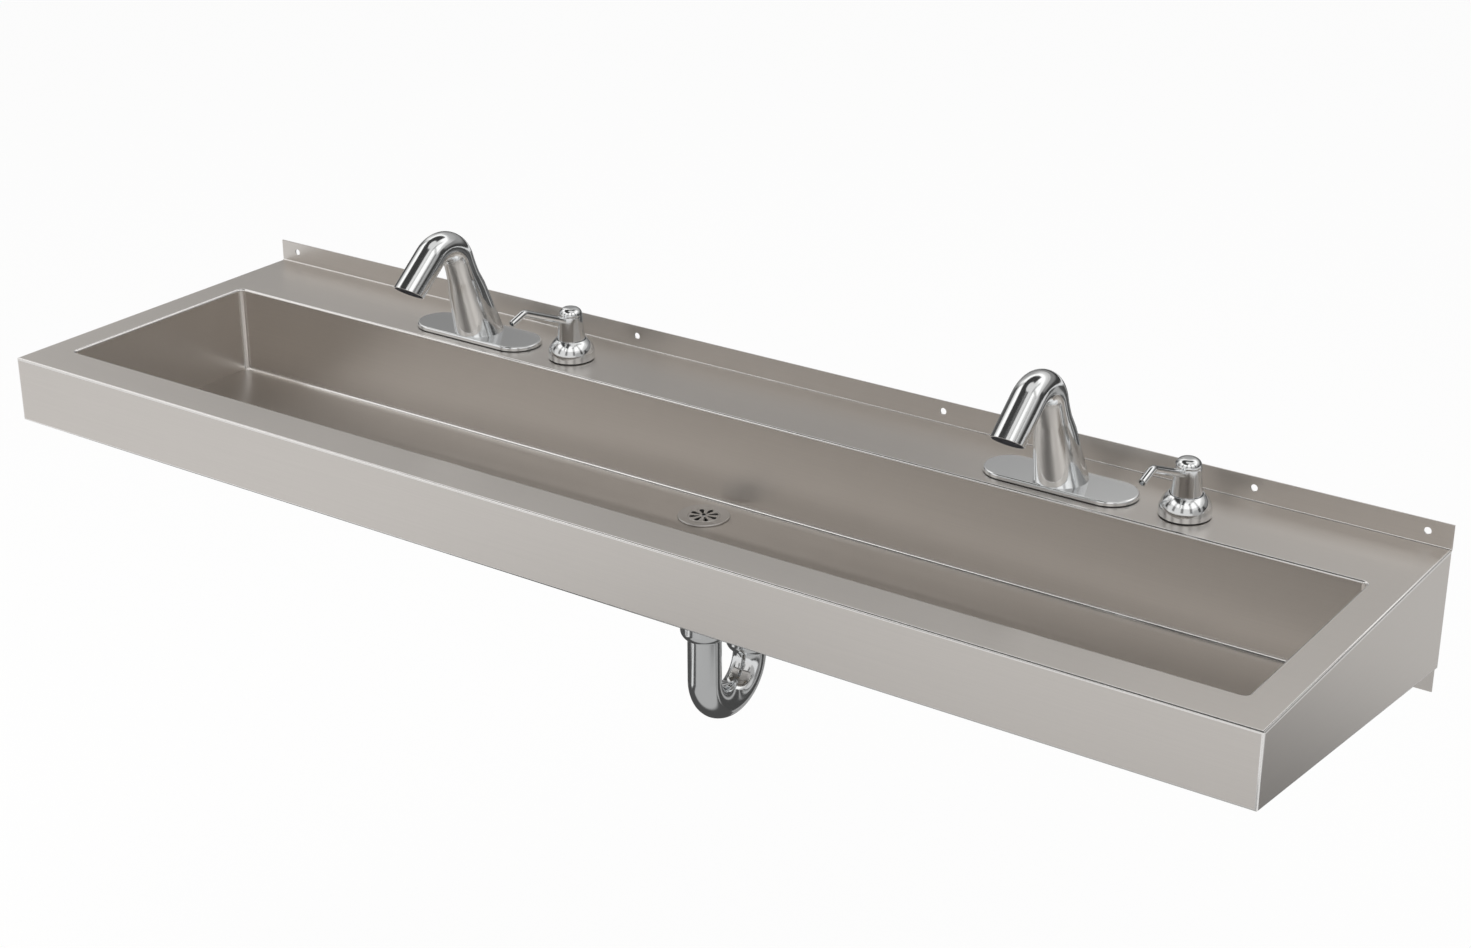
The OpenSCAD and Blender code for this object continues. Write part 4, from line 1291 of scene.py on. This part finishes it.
@dataclass
class Fixture:
    """What the fixtures on each side of the deck share."""

    fitter: Fitter
    side: Side

    def name(self, name: str) -> str:
        """The name of a piece or a node on this side."""
        return f"{self.side.value}_{name}"

    def fit(self, piece: bpy.types.Object, finish: Finish, node: str, body: Body = Body.SINK) -> None:
        """Fits a piece for this side's own node."""
        self.fitter.fit(piece, finish, body, self.name(node))

    def seal(self, node: str, name: str) -> None:
        """Refines this side's packed rubber seal between a fixture and the deck."""
        self.fitter.refine(self.name(node), self.name(name), Finishes.rubber)


@dataclass
class Faucet(Fixture):
    """A sensor faucet: deck plate, leaning column with its bent spout, and the shank below."""

    plate_l: float = 0.17
    plate_w: float = 0.06
    plate_t: float = 0.0045
    hole_gap: float = 0.0003
    gasket_t: float = 0.001
    base_r: float = 0.028
    foot_flare: float = 0.001
    spout_r: float = 0.0176
    column: float = 0.1
    column_row: float = 0.015
    column_rows: int = 5
    ease: float = 0.025
    ease_steps: int = 8
    lean: float = math.radians(18)
    bend_r: float = 0.03
    turn: float = math.radians(111.5)
    spout: float = 0.049
    tilt: float = math.radians(16)
    lip: float = 0.0012
    lip_edge: float = 0.0004
    mouth: float = 0.003
    mouth_near: float = 0.00002
    recess_near: float = 0.0002
    foot: float = 0.02
    aerator_r: float = 0.0085
    aerator_off: float = -0.003
    aerator_depth: float = 0.004
    aerator_rise: float = 0.001
    aerator_wall: float = 0.0016
    screen_low: float = 0.0004
    screen_bars: int = 5
    wire_w: float = 0.0008
    wire_h: float = 0.0007
    wire_edge: float = 0.00015
    lens_r: float = 0.0034
    lens_off: float = 0.011
    lens_depth: float = 0.003
    lens_crown: Curve = ((1.0, 0.0002), (0.9, 0.00045), (0.6, 0.0007), (0.0, 0.0009))
    shank_r: float = 0.0135
    shank: float = 0.054
    shank_in_column: float = 0.01
    inlet_r: float = 0.0104
    inlet: float = 0.016
    water_r: float = 0.005
    thread_pitch: float = 0.0015
    thread_depth: float = 0.0006
    inlet_depth: float = 0.0005
    washer_w: float = 0.009
    washer_t: float = 0.003
    nut_w: float = 0.007
    nut_t: float = 0.009

    @property
    def top(self) -> Vector:
        """The place on top of the deck plate."""
        return self.side.faucet + Vector((0, 0, self.gasket_t + self.plate_t))

    def build(self) -> None:
        """Builds the faucet from the deck up and below."""
        self._plate()
        self._spout()
        self._aerator()
        self._lens()
        self._below()

    def _plate(self) -> None:
        """The round-ended deck plate with its rolled edge."""
        middle = self.side.faucet + Vector((0, 0, self.gasket_t + self.plate_t / 2))
        piece = Bench.box(self.name("cover_plate"), (self.plate_l, self.plate_w, self.plate_t), middle)
        Bench.edit()
        bpy.ops.mesh.select_mode(type="EDGE")
        bpy.ops.mesh.select_all(action="DESELECT")
        mesh = bmesh.from_edit_mesh(piece.data)
        for edge in mesh.edges:
            if abs(edge.verts[0].co.z - edge.verts[1].co.z) > self.plate_t / 2:
                edge.select_set(True)
        bmesh.update_edit_mesh(piece.data)
        bpy.ops.mesh.bevel(offset=self.plate_w / 2 - MERGE, segments=32, profile=0.5)
        bpy.ops.mesh.select_all(action="SELECT")
        bpy.ops.mesh.remove_doubles(threshold=MERGE * 4)
        top = middle.z + self.plate_t / 2
        Bench.pick("FACE", lambda co: abs(co.z - top) < MERGE)
        bpy.ops.mesh.region_to_loop()
        bpy.ops.mesh.bevel(offset=self.plate_t / 2, segments=10, profile=0.5)
        Bench.close()
        Bench.clear()
        r, low, high = self.shank_r + self.hole_gap, -OVERRUN, 2 * OVERRUN
        hole = Bench.lathe("hole", [(0, low), (r, low), (r, high), (0, high)], self.side.faucet, 64)
        Bench.carve(piece, hole)
        self.fit(piece, Finishes.chrome, "deck_plate")
        self.seal("plate_gasket", "plate_seal")

    def _column(self) -> Outline:
        """(distance, radius) points up the column, from below the plate to the bend.

        Returns:
            The points, upwards.
        """
        taper = (self.base_r - self.spout_r) / self.column
        rows = [self.column_row * i for i in range(self.column_rows)]
        points = [(self.foot + z, self.base_r - taper * z) for z in rows]
        for i in range(self.ease_steps + 1):
            left = 1 - i / self.ease_steps
            radius = self.spout_r + taper * self.ease * left**2 / 2
            points.append((self.foot + self.column - self.ease * left, radius))
        return points

    def _spout(self) -> None:
        """The column, its bend and the spout with its open mouth."""
        foot = self.top - Vector((0, 0, self.foot))
        bar = RoundBar(foot, UP, self.base_r + self.foot_flare, 96)
        bar.follow(self._column())
        bar.bend(bar.centre - Vector((0, self.bend_r, 0)), ALONG_WALL, self.turn, 48)
        bar.go(self.spout + self.spout_r)
        piece = bar.finish(self.name("spout"))
        Bench.open(piece)
        Bench.turn(self.lean, "X", self.top)
        bpy.ops.mesh.bisect(plane_co=self.top, plane_no=UP, use_fill=True, clear_inner=True)
        self._open_mouth()
        Bench.close()
        Bench.clear()
        self.fit(piece, Finishes.chrome, "faucet_body")
        middle, _, square = self._mouth_place()
        floor, reach = middle - square * self.mouth, self.spout_r * 1.1
        Finishes.dark_plastic.line(piece, self._at(floor, square, self.recess_near, reach))

    @staticmethod
    def _at(spot: Vector, square: Vector, near: float, reach: float) -> Callable[[Vector], bool]:
        """Says whether a point lies near a plane through a spot and within reach of the spot."""
        return lambda co: abs((co - spot).dot(square)) < near and (co - spot).length < reach

    def _mouth_place(self) -> tuple[Vector, Vector, Vector]:
        """The mouth's middle, the way along the spout there, and the way square to the tilted mouth.

        Returns:
            The middle and the two directions.
        """
        leaning, bent, tilted = (Matrix.Rotation(a, 3, "X") for a in (self.lean, self.turn, self.tilt))
        whole = Matrix.Rotation(self.lean + self.turn, 3, "X")
        along = whole @ UP
        bend_end = Vector((0, -self.bend_r, self.column)) + bent @ Vector((0, self.bend_r, 0))
        middle = self.top + leaning @ bend_end + along * self.spout
        return middle, along, whole @ tilted @ UP

    def _open_mouth(self) -> None:
        """Cuts the edited spout at its tilted mouth, rounds the lip and sinks the recess."""
        middle, along, square = self._mouth_place()
        reach, half_way = self.spout + self.spout_r / 2, self.top.z + self.column / 2
        Bench.pick("VERT", lambda co: (co - middle).length < reach and co.z > half_way)
        bpy.ops.mesh.bisect(plane_co=middle, plane_no=square, use_fill=True, clear_outer=True)
        mouth = self._at(middle, square, self.mouth_near, self.spout_r * 1.2)
        Bench.pick("FACE", mouth)
        bpy.ops.mesh.region_to_loop()
        bpy.ops.mesh.bevel(offset=self.lip_edge, segments=3, profile=0.5)
        Bench.pick("FACE", mouth)
        bpy.ops.mesh.inset(thickness=self.lip - self.lip_edge)
        sink = along * (-self.mouth / square.dot(along))
        bpy.ops.mesh.extrude_region_move(TRANSFORM_OT_translate={"value": sink})

    def _to_mouth(self, piece: bpy.types.Object) -> None:
        """Moves a piece that was built about the origin, Z along the water, into the spout's mouth.

        Args:
            piece: the piece.
        """
        Bench.open(piece)
        moves = ((self.tilt, (0, self.bend_r, self.spout)), (self.turn, (0, -self.bend_r, self.column)))
        for angle, shift in (*moves, (self.lean, self.top)):
            Bench.turn(angle, "X", ORIGIN)
            bpy.ops.transform.translate(value=shift)
        Bench.clear()

    def _aerator(self) -> None:
        """The aerator's ring with its screen."""
        floor, r, rise = -self.mouth, self.aerator_r, self.aerator_rise
        low, inner, web = floor - self.aerator_depth, r - self.aerator_wall, floor - self.screen_low
        outline = [(0, low), (r, low), (r, floor + rise - EDGE), (r - EDGE, floor + rise)]
        outline += [(inner + EDGE, floor + rise), (inner, floor + rise - EDGE), (inner, web), (0, web)]
        piece = Bench.lathe(self.name("spray_insert"), outline, Vector((0, self.aerator_off, 0)), 64)
        Bench.join(piece, self._screen(inner, floor))
        self._to_mouth(piece)
        self.fit(piece, Finishes.dark_plastic, "aerator")

    def _screen(self, radius: float, floor: float) -> bpy.types.Object:
        """The crossing bars of the aerator's screen.

        Args:
            radius: inside the aerator's ring.
            floor: the mouth's depth.

        Returns:
            The screen.
        """
        middle = (self.screen_bars + 1) / 2
        bars = []
        for turned in (False, True):
            for i in range(self.screen_bars):
                off = ((i + 1) / middle - 1) * radius
                length = 2 * math.sqrt(radius * radius - off * off)
                size, spot = (self.wire_w, length, self.wire_h), (off, self.aerator_off, floor)
                if turned:
                    size, spot = (length, self.wire_w, self.wire_h), (0, self.aerator_off + off, floor)
                bars.append(Bench.box("screen", size, spot))
                Bench.edit()
                bpy.ops.mesh.bevel(offset=self.wire_edge, segments=1)
                Bench.clear()
        Bench.join(bars.pop(), *bars)
        return Bench.named("screen")

    def _lens(self) -> None:
        """The sensor's domed window."""
        floor, r = -self.mouth, self.lens_r
        outline = [(0, floor - self.lens_depth), (r, floor - self.lens_depth)]
        outline += [(r * share, floor + height) for share, height in self.lens_crown]
        piece = Bench.lathe(self.name("sensor_window"), outline, Vector((0, self.lens_off, 0)), 48)
        self._to_mouth(piece)
        self.fit(piece, Finishes.lens, "sensor_lens")

    def _below(self) -> None:
        """The shank with its inlet, and the washer and nut that hold the faucet."""
        foot, pitch, depth = self.side.faucet, self.thread_pitch, self.inlet_depth
        r, low, end = self.shank_r, -self.shank, -self.shank - self.inlet
        outline = [(self.water_r, end), (self.inlet_r - depth, end)]
        outline += threads(self.inlet_r, end + depth, low, pitch, depth)
        outline += [(r - self.thread_depth, low)]
        outline += threads(r, low + self.thread_depth, 0.0, pitch, self.thread_depth)
        top = self.gasket_t + self.plate_t + self.shank_in_column
        outline += [(r, top), (self.water_r, top), (self.water_r, end)]
        shank = Bench.lathe(self.name("threaded_shank"), outline, foot, 48)
        self.fit(shank, Finishes.brass, "faucet_shank")
        bore, under = r + FIT, -SHEET_T - self.washer_t
        washer = ring(self.name("clamp_washer"), r + self.washer_w, bore, under, -SHEET_T, foot, edge=0.0006)
        self.fit(washer, Finishes.rubber, "faucet_washer")
        nut = hex_nut(self.name("clamp_nut"), r + self.nut_w, bore, under - self.nut_t, under, foot)
        self.fit(nut, Finishes.brass, "faucet_nut")


@dataclass
class SoapPump(Fixture):
    """A deck soap pump: domed base, pressed head with its tube, and the bottle below."""

    dome_r: float = 0.0263
    dome_h: float = 0.0235
    dome_straight: float = 0.005
    dome_edge: float = 0.0005
    dome_lip: float = 0.001
    dome_steps: int = 24
    opening: float = 0.0166
    opening_floor: float = 0.005
    gasket_t: float = 0.001
    shank_r: float = 0.013
    shank_bore: float = 0.01045
    shank: float = 0.055
    nut_w: float = 0.008
    nut_t: float = 0.007
    head_r: float = 0.016
    head_top_r: float = 0.0132
    head_top: float = 0.0605
    head_round: float = 0.0085
    head_low: float = 0.021
    head_edge: float = 0.0005
    head_well: tuple[float, float] = (0.0125, 0.0128)
    head_well_h: float = 0.004
    head_cap: float = 0.009
    tube_r: float = 0.0039
    tube_wall: float = 0.0012
    tube_hollow: float = 0.008
    tube_step: float = 0.0001
    tube: float = 0.085
    tube_rise: float = math.radians(23)
    tube_bend_r: float = 0.01
    tube_turn: float = math.radians(40)
    tube_tip: float = 0.019
    tube_root: float = 0.0427
    bottle_r: float = 0.037
    bottle_h: float = 0.15
    bottle_t: float = 0.0015
    bottle_low_round: float = 0.004
    bottle_top_round: float = 0.006
    bottle_dent: tuple[float, float] = (0.012, 0.009)
    bottle_dent_h: float = 0.003
    bottle_floor: float = 0.0045
    bottle_floor_edge: float = 0.0005
    shoulder: float = 0.018
    neck_r: float = 0.016
    neck_h: float = 0.015
    neck_low: float = 0.003
    neck_edge: float = 0.0005
    stroke: float = 0.014
    spring_r: float = 0.006
    wire_r: float = 0.00055
    spring_turns: int = 6
    spring_steps: int = 24
    spring_low: float = -0.074
    spring_high: float = -0.0063
    spring_gap: float = 0.0001
    thread_pitch: float = 0.0018
    thread_depth: float = 0.0006

    def build(self) -> None:
        """Builds the pump from its dome up and below."""
        self._dome()
        self._head()
        self._bottle()
        self._spring()
        self._inner()

    def _dome(self) -> None:
        """The domed base with its threaded shank, its gasket and its nut."""
        low, edge, depth = self.gasket_t, self.dome_edge, self.thread_depth
        end = math.acos((self.opening + self.dome_lip) / self.dome_r)
        rise = (self.dome_h - low - self.dome_straight) / math.sin(end)
        outline = [(self.shank_bore, -self.shank), (self.shank_r - depth, -self.shank)]
        outline += threads(self.shank_r, -self.shank + depth, -edge, self.thread_pitch, depth)
        outline += [(self.shank_r, low), (self.dome_r - edge, low), (self.dome_r, low + edge)]
        for i in range(self.dome_steps + 1):
            a = end * i / self.dome_steps
            outline.append((self.dome_r * math.cos(a), low + self.dome_straight + rise * math.sin(a)))
        outline += [(self.opening + EDGE, self.dome_h), (self.opening, self.dome_h - EDGE)]
        outline += [(r, self.opening_floor) for r in (self.opening, self.shank_bore)] + [outline[0]]
        foot, bore, r_out = self.side.pump, self.shank_r + FIT, self.shank_r + self.nut_w
        dome = Bench.lathe(self.name("dome"), outline, foot)
        self.fit(dome, Finishes.chrome, "dispenser_flange")
        self.seal("dispenser_gasket", "dome_seal")
        nut = hex_nut(self.name("dome_nut"), r_out, bore, -SHEET_T - self.nut_t, -SHEET_T, foot)
        self.fit(nut, Finishes.brass, "dispenser_locknut")

    def _head(self) -> None:
        """The tapered head with its rounded top, and the tube that leaves it."""
        low, edge, shoulder = self.head_low, self.head_edge, self.head_top - self.head_cap
        well_in, well_out = self.head_well
        outline = [(0, low + self.head_well_h), (well_in, low + self.head_well_h), (well_out, low)]
        outline += [(self.head_r - edge, low), (self.head_r, low + edge)]
        span = shoulder - low - edge
        for share in (0.25, 0.5, 0.75, 0.96):
            radius = self.head_r + (self.head_top_r - self.head_r) * share
            outline.append((radius, low + edge + span * share))
        outline += [(self.head_top_r - EDGE, shoulder), (self.head_top_r, shoulder + edge)]
        centre = (self.head_top_r - self.head_round, self.head_top - self.head_round)
        outline += Bench.arc(centre, self.head_round, 0, 90, 18)
        outline.append((0, self.head_top))
        piece = Bench.lathe(self.name("push_head"), outline, self.side.pump)
        Bench.join(piece, self._tube())
        self.fit(piece, Finishes.chrome, "pump_head", self.side.head_body)

    def _tube(self) -> bpy.types.Object:
        """The slim tube: straight out, down at its end, with a small open mouth.

        Returns:
            The tube, in its place.
        """
        bar = RoundBar(ORIGIN, UP, self.tube_r, 40)
        bar.go(self.tube)
        bar.bend(bar.centre - Vector((0, self.tube_bend_r, 0)), ALONG_WALL, self.tube_turn, 14)
        bar.go(self.tube_tip - EDGE).go(EDGE, self.tube_r - EDGE)
        bore, step = self.tube_r - self.tube_wall, self.tube_step
        bar.go(0.0, bore + step).go(-step, bore).go(-self.tube_hollow)
        tube = bar.finish("tube")
        Bench.open(tube)
        Bench.turn(math.pi / 2 - self.tube_rise, "X", ORIGIN)
        bpy.ops.transform.translate(value=self.side.pump + Vector((0, 0, self.tube_root)))
        Bench.clear()
        return tube

    def _bottle(self) -> None:
        """The soap bottle with its neck ring and rounded shoulder."""
        r, wall, bore = self.bottle_r, self.bottle_t, self.shank_r + FIT
        top, body_top = -self.shank, -self.shank - self.shoulder
        low, low_round, top_round = body_top - self.bottle_h, self.bottle_low_round, self.bottle_top_round
        dent, dent_h, floor = self.bottle_dent, low + self.bottle_dent_h, low + self.bottle_floor
        outline = [(0, dent_h), (r - dent[0], dent_h), (r - dent[1], low)]
        outline += Bench.arc((r - low_round, low + low_round), low_round, -90, 0, 8)
        outline += Bench.arc((r - top_round, body_top - top_round), top_round, 0, 55, 8)
        outline += [(self.neck_r, top + z) for z in (0, self.neck_low, self.neck_h - self.neck_edge)]
        outline += [(self.neck_r - self.neck_edge, top + self.neck_h), (bore, top + self.neck_h)]
        outline += [(bore, top - 2 * wall), (r - wall, body_top - top_round)]
        outline += [(r - wall, floor + self.bottle_floor_edge), (r - top_round, floor), (0, floor)]
        piece = Bench.lathe(self.name("bottle"), outline, self.side.pump)
        self.fit(piece, Finishes.bottle, "soap_bottle")

    def _spring(self) -> None:
        """The wire spring in the cylinder, below the head."""
        height = self.spring_high - self.spring_low - 2 * self.wire_r - self.spring_gap
        base = self.side.pump + Vector((0, 0, self.spring_low + self.wire_r))
        start, across = base + Vector((self.spring_r, 0, 0)), (math.pi / 2, 0, 0)
        Bench.clear()
        bpy.ops.mesh.primitive_circle_add(
            vertices=10, radius=self.wire_r, fill_type="NOTHING", location=start, rotation=across
        )
        Bench.settle()
        Bench.edit()
        count = self.spring_turns * self.spring_steps
        for _ in range(count):
            bpy.ops.mesh.extrude_region_move(TRANSFORM_OT_translate={"value": (0, 0, height / count)})
            Bench.turn(math.tau / self.spring_steps, "Z", base)
        bpy.ops.mesh.select_all(action="DESELECT")
        bpy.ops.mesh.select_non_manifold()
        bpy.ops.mesh.edge_face_add()
        Bench.close()
        piece = Bench.named(self.name("coil_spring"))
        self.fit(piece, Finishes.spring, "pump_spring")
        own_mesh(piece)

    def _inner(self) -> None:
        """The hidden pump pieces, as packed."""
        for node in ("pump_cylinder", "pump_cap", "dip_tube", "pump_piston"):
            self.fitter.keep(Finishes.white_plastic, self.name(node))


def threads(radius: float, low: float, high: float, pitch: float, depth: float) -> Outline:
    """Outline of a thread on a shank, as close grooves.

    Args:
        radius: over the crests.
        low: where the thread starts.
        high: where it ends, above or below the start.
        pitch: from crest to crest.
        depth: of the grooves.

    Returns:
        The (radius, height) points, from start to end.
    """
    count = max(1, round(abs(high - low) / pitch))
    step = (high - low) / count
    root = radius - depth
    points = []
    for i in range(count):
        base = low + step * i
        points += [(root, base + step * 0.1), (radius, base + step * 0.45), (radius, base + step * 0.65)]
    points.append((root, high - step * 0.02))
    return points


def ring(
    name: str, r_out: float, r_in: float, low: float, high: float, foot: Vector, edge: float
) -> bpy.types.Object:
    """A flat ring with its outer edges rounded off.

    Args:
        name: the piece's name.
        r_out: outer radius.
        r_in: bore radius.
        low: lower face's height over the foot.
        high: upper face's height over the foot.
        foot: where heights start.
        edge: radius of the outer edges.

    Returns:
        The piece.
    """
    outline = [(r_in, low)] + Bench.arc((r_out - edge, low + edge), edge, -90, 0, 5)
    outline += Bench.arc((r_out - edge, high - edge), edge, 0, 90, 5) + [(r_in, high), (r_in, low)]
    return Bench.lathe(name, outline, foot, 72)


def hex_nut(
    name: str, r_out: float, r_in: float, low: float, high: float, foot: Vector, well: Sequence[float] = ()
) -> bpy.types.Object:
    """A hexagonal nut with turned, chamfered ends.

    Args:
        name: the piece's name.
        r_out: radius over the corners.
        r_in: bore radius.
        low: lower face's height over the foot.
        high: upper face's height over the foot.
        foot: where heights start.
        well: radius and depth of a wider well in the lower end, if any.

    Returns:
        The nut.
    """
    flat = r_out * math.cos(math.pi / 6)
    drop, rim, chamfer, past = (r_out - flat) * 0.6, flat * 0.985, 0.0006, 0.001
    corner = r_out + MERGE
    outline = [(r_in, high), (rim, high), (corner, high - drop), (corner, low + drop), (rim, low)]
    if well:
        well_r, depth = well
        outline += [(well_r, low), (well_r, low + depth), (r_in, low + depth), (r_in, high)]
    else:
        outline += [(r_in + chamfer, low), (r_in, low + chamfer), (r_in, high)]
    barrel = Bench.lathe("barrel", outline, foot)
    middle = foot + Vector((0, 0, (low + high) / 2))
    nut = Bench.cylinder(name, 6, r_out, high - low + 2 * past, middle, math.pi / 6)
    Bench.carve(nut, barrel, "INTERSECT")
    return nut


# Studio


@dataclass
class Studio:
    """The camera at the photograph's angle, the pale floor and the soft light."""

    place: Point = (1.4416, -2.1679, 0.9980)
    look: Point = (-0.52453, 0.75393, -0.39555)
    lens: float = 61.69
    sensor: float = 36.0
    floor_z: float = -0.878
    floor_size: float = 14.0
    floor_tints: tuple[float, float] = (0.80, 0.84)
    floor_white: float = 0.93
    floor_level: float = 0.82
    room_tint: Colour = (1.0, 0.99, 0.975)
    room_level: float = 0.80
    room_least: float = 0.05
    bars: float = 9.0
    first_bar: float = 121.0
    card_tint: Colour = (1.0, 0.995, 0.985)
    lamp_tint: Colour = (1.0, 0.985, 0.965)

    def build(self) -> None:
        """Sets up the view, the camera, the world, the floor and the lamps."""
        scene = bpy.context.scene
        scene.view_settings.view_transform = "Standard"
        self._camera(scene)
        self._world(scene)
        self._floor()
        self._cards()
        self._lamps()

    def _camera(self, scene: bpy.types.Scene) -> None:
        """The camera, without shift or depth of field.

        Args:
            scene: the scene that gets it.
        """
        data = bpy.data.cameras.new("camera")
        data.sensor_fit = "HORIZONTAL"
        data.sensor_width, data.lens = self.sensor, self.lens
        data.clip_start, data.clip_end = 0.05, 60.0
        camera = bpy.data.objects.new("camera", data)
        scene.collection.objects.link(camera)
        camera.location = self.place
        camera.rotation_euler = Vector(self.look).to_track_quat("-Z", "Y").to_euler()
        scene.camera = camera

    def _world(self, scene: bpy.types.Scene) -> None:
        """A room that mirrors and lit surfaces show, and plain white for the camera.

        Args:
            scene: the scene that gets it.
        """
        world = bpy.data.worlds.new("studio")
        world.use_nodes = True
        scene.world = world
        tree = Tree(world.node_tree)
        way = tree.axes(tree.node("ShaderNodeTexCoord", {}, {}, "Generated"))
        soft = tree.light("Background", self.room_tint, self._room(*way).most(self.room_least))
        white = tree.light("Background", (1.0, 1.0, 1.0), 1.0)
        tree.output("World", tree.mix(tree.ray("Camera"), soft, white))

    def _room(self, x: Term, y: Term, z: Term) -> Term:
        """The room's light by direction: a pale room with bright bands and dark gaps.

        Args:
            x: the direction's part along the wall.
            y: its part towards the wall.
            z: its part upwards.

        Returns:
            The level of light.
        """
        behind = y.step(0.2, 0.45)
        turned = (y.angle(x) * self.bars + math.radians(90 - self.bars * self.first_bar)).sine()
        uprights = turned.step(0.45, 0.80) * z.step(0.10, 0.20) * z.step(0.90, 0.82) * (1 - behind)
        crown = (z - behind * 0.08).step(0.50, 0.58) * z.step(0.92, 0.84)
        gap = (x + 0.27).size().step(0.44, 0.38) * z.step(0.745, 0.785) * z.step(0.975, 0.955)
        slit = (x - 0.46).size().step(0.07, 0.04) * z.step(0.74, 0.80)
        low = z.step(0.58, 0.34) * behind
        left = x.step(-0.66, -0.82) * behind
        band = z.step(0.375, 0.40) * z.step(0.47, 0.445) * behind
        ends = z.step(0.44, 0.34) * x.size().step(0.78, 0.88)
        dusk = z.step(0.24, 0.06) * y.step(-0.05, 0.30)
        bright = ((crown, 0.45), (left, 0.38), (band, 0.20))
        dark = ((uprights, -0.6), (low, -0.54), (ends, -0.35), (dusk, -0.25), (gap, -1.2), (slit, -0.5))
        level = self.room_level
        for mask, change in (*bright, *dark):
            level = level + mask * change
        return level

    def _card(self, name: str, place: Point, size: tuple[float, float], tilt: float = math.pi / 2) -> Tree:
        """Adds one card that only mirrors show.

        Args:
            name: the card's name.
            place: its middle.
            size: its width and height.
            tilt: its turn about X; a quarter turn makes it face the front.

        Returns:
            The tree of its material, for its pattern.
        """
        Bench.clear()
        bpy.ops.mesh.primitive_plane_add(size=1, location=place, rotation=(tilt, 0, 0))
        bpy.context.active_object.scale = (*size, 1)
        Bench.settle()
        card = Bench.named(name)
        made = bpy.data.materials.new(name)
        made.use_nodes = True
        card.data.materials.append(made)
        for rays in ("camera", "diffuse", "transmission", "volume_scatter", "shadow"):
            setattr(card, f"visible_{rays}", False)
        return Tree(made.node_tree)

    def _dress_card(self, tree: Tree, level: Term | float, shown: Term | float) -> None:
        """Gives a card its level of light and how much of it shows; its back doesn't.

        Args:
            tree: the tree of the card's material.
            level: how bright it is.
            shown: how much of it shows, from 0 to 1.
        """
        back = tree.node("ShaderNodeNewGeometry", {}, {}, "Backfacing")
        card = tree.light("Emission", self.card_tint, level)
        clear = tree.node("ShaderNodeBsdfTransparent", {}, {})
        tree.output("Material", tree.mix((1 - back) * shown, clear, card))

    def _cards(self) -> None:
        """Cards behind and below the object, which dim what its mirrors and its right end show."""
        tree = self._card("rear_flag", (-0.35, 0.3, -0.42), (2.2, 0.92))
        stripes = tree.noise(tree.place((9.0, 0.0, 0.6)), 1.0, detail=1.0, rough=0.3).step(0.50, 0.60)
        self._dress_card(tree, 0.07 + stripes * 0.38, 1.0)
        tree = self._card("right_flag", (1.5, 0.3, -0.42), (1.5, 0.92))
        _, _, z = tree.axes(tree.place())
        self._dress_card(tree, 0.23 + z.step(-0.56, -0.27) * 0.42, 1.0)
        tree = self._card("high_flag", (-0.4, 0.6, 0.5), (1.4, 0.9))
        x, _, z = tree.axes(tree.place())
        shown = x.step(-1.0, -0.65) * x.step(0.25, -0.20) * z.step(0.10, 0.30) * z.step(0.92, 0.75)
        self._dress_card(tree, 0.36, shown * 0.75)
        tree = self._card("under_flag", (0.1, -0.9, -0.87), (3.2, 2.4), tilt=0.0)
        x, y, _ = tree.axes(tree.place())
        body = x.step(-0.52, -0.42) * x.step(1.30, 1.10) * (y - x * 0.7).step(-0.20, -0.34)
        line = x.step(-0.98, -0.92) * x.step(-0.74, -0.80) * y.step(-0.50, -0.62)
        shown = y.step(-1.65, -1.4) * x.step(-1.08, -1.0).most(y.step(-0.75, -0.6))
        self._dress_card(tree, 0.08 + body * 0.38 + line * 0.8, shown)

    def _floor(self) -> None:
        """The plain pale floor, which keeps a faint shadow."""
        Bench.clear()
        bpy.ops.mesh.primitive_circle_add(
            vertices=96, radius=self.floor_size, fill_type="NGON", location=(0, 0, self.floor_z)
        )
        Bench.settle()
        floor = Bench.named("floor")
        made = bpy.data.materials.new("pale_floor")
        made.use_nodes = True
        tree = Tree(made.node_tree)
        camera = tree.ray("Camera")
        shown = camera.most(tree.ray("Glossy")).most(tree.ray("Transmission"))
        dull, pale = ([tint] * 3 for tint in self.floor_tints)
        colour = tree.blend(tree.noise(tree.place(), 40.0), dull, pale)
        matt = tree.node("ShaderNodeBsdfDiffuse", {}, {"Color": colour})
        level = self.floor_level + camera * (1 - self.floor_level)
        white = tree.light("Emission", (1.0, 1.0, 1.0), level)
        tree.output("Material", tree.mix(shown * self.floor_white, matt, white))
        floor.data.materials.append(made)

    def _lamps(self) -> None:
        """Large soft lamps above the front, the right and the middle."""
        for name, place, aim, size, power in (
            ("key", (-1.6, -2.2, 2.6), (0, -0.2, 0), 2.2, 60.0),
            ("fill", (2.4, -2.4, 2.0), (0, -0.2, 0), 2.0, 22.0),
            ("top", (0.0, -0.3, 3.2), (0, -0.3, 0), 2.6, 45.0),
        ):
            data = bpy.data.lights.new(name, "AREA")
            data.shape, data.size, data.energy = "SQUARE", size, power
            data.color = self.lamp_tint
            lamp = bpy.data.objects.new(name, data)
            bpy.context.scene.collection.objects.link(lamp)
            lamp.location = place
            lamp.visible_glossy = False
            lamp.rotation_euler = (Vector(aim) - Vector(place)).to_track_quat("-Z", "Y").to_euler()


def main() -> None:
    """Builds the studio and every sub-assembly in order."""
    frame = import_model()
    Studio().build()
    fitter = Fitter(frame["nodes"])
    SheetMetal(fitter).build()
    Drain(fitter).build()
    Trap(fitter).build()
    for side in Side:
        Faucet(fitter, side).build()
        SoapPump(fitter, side).build()


if __name__ == "__main__":
    main()
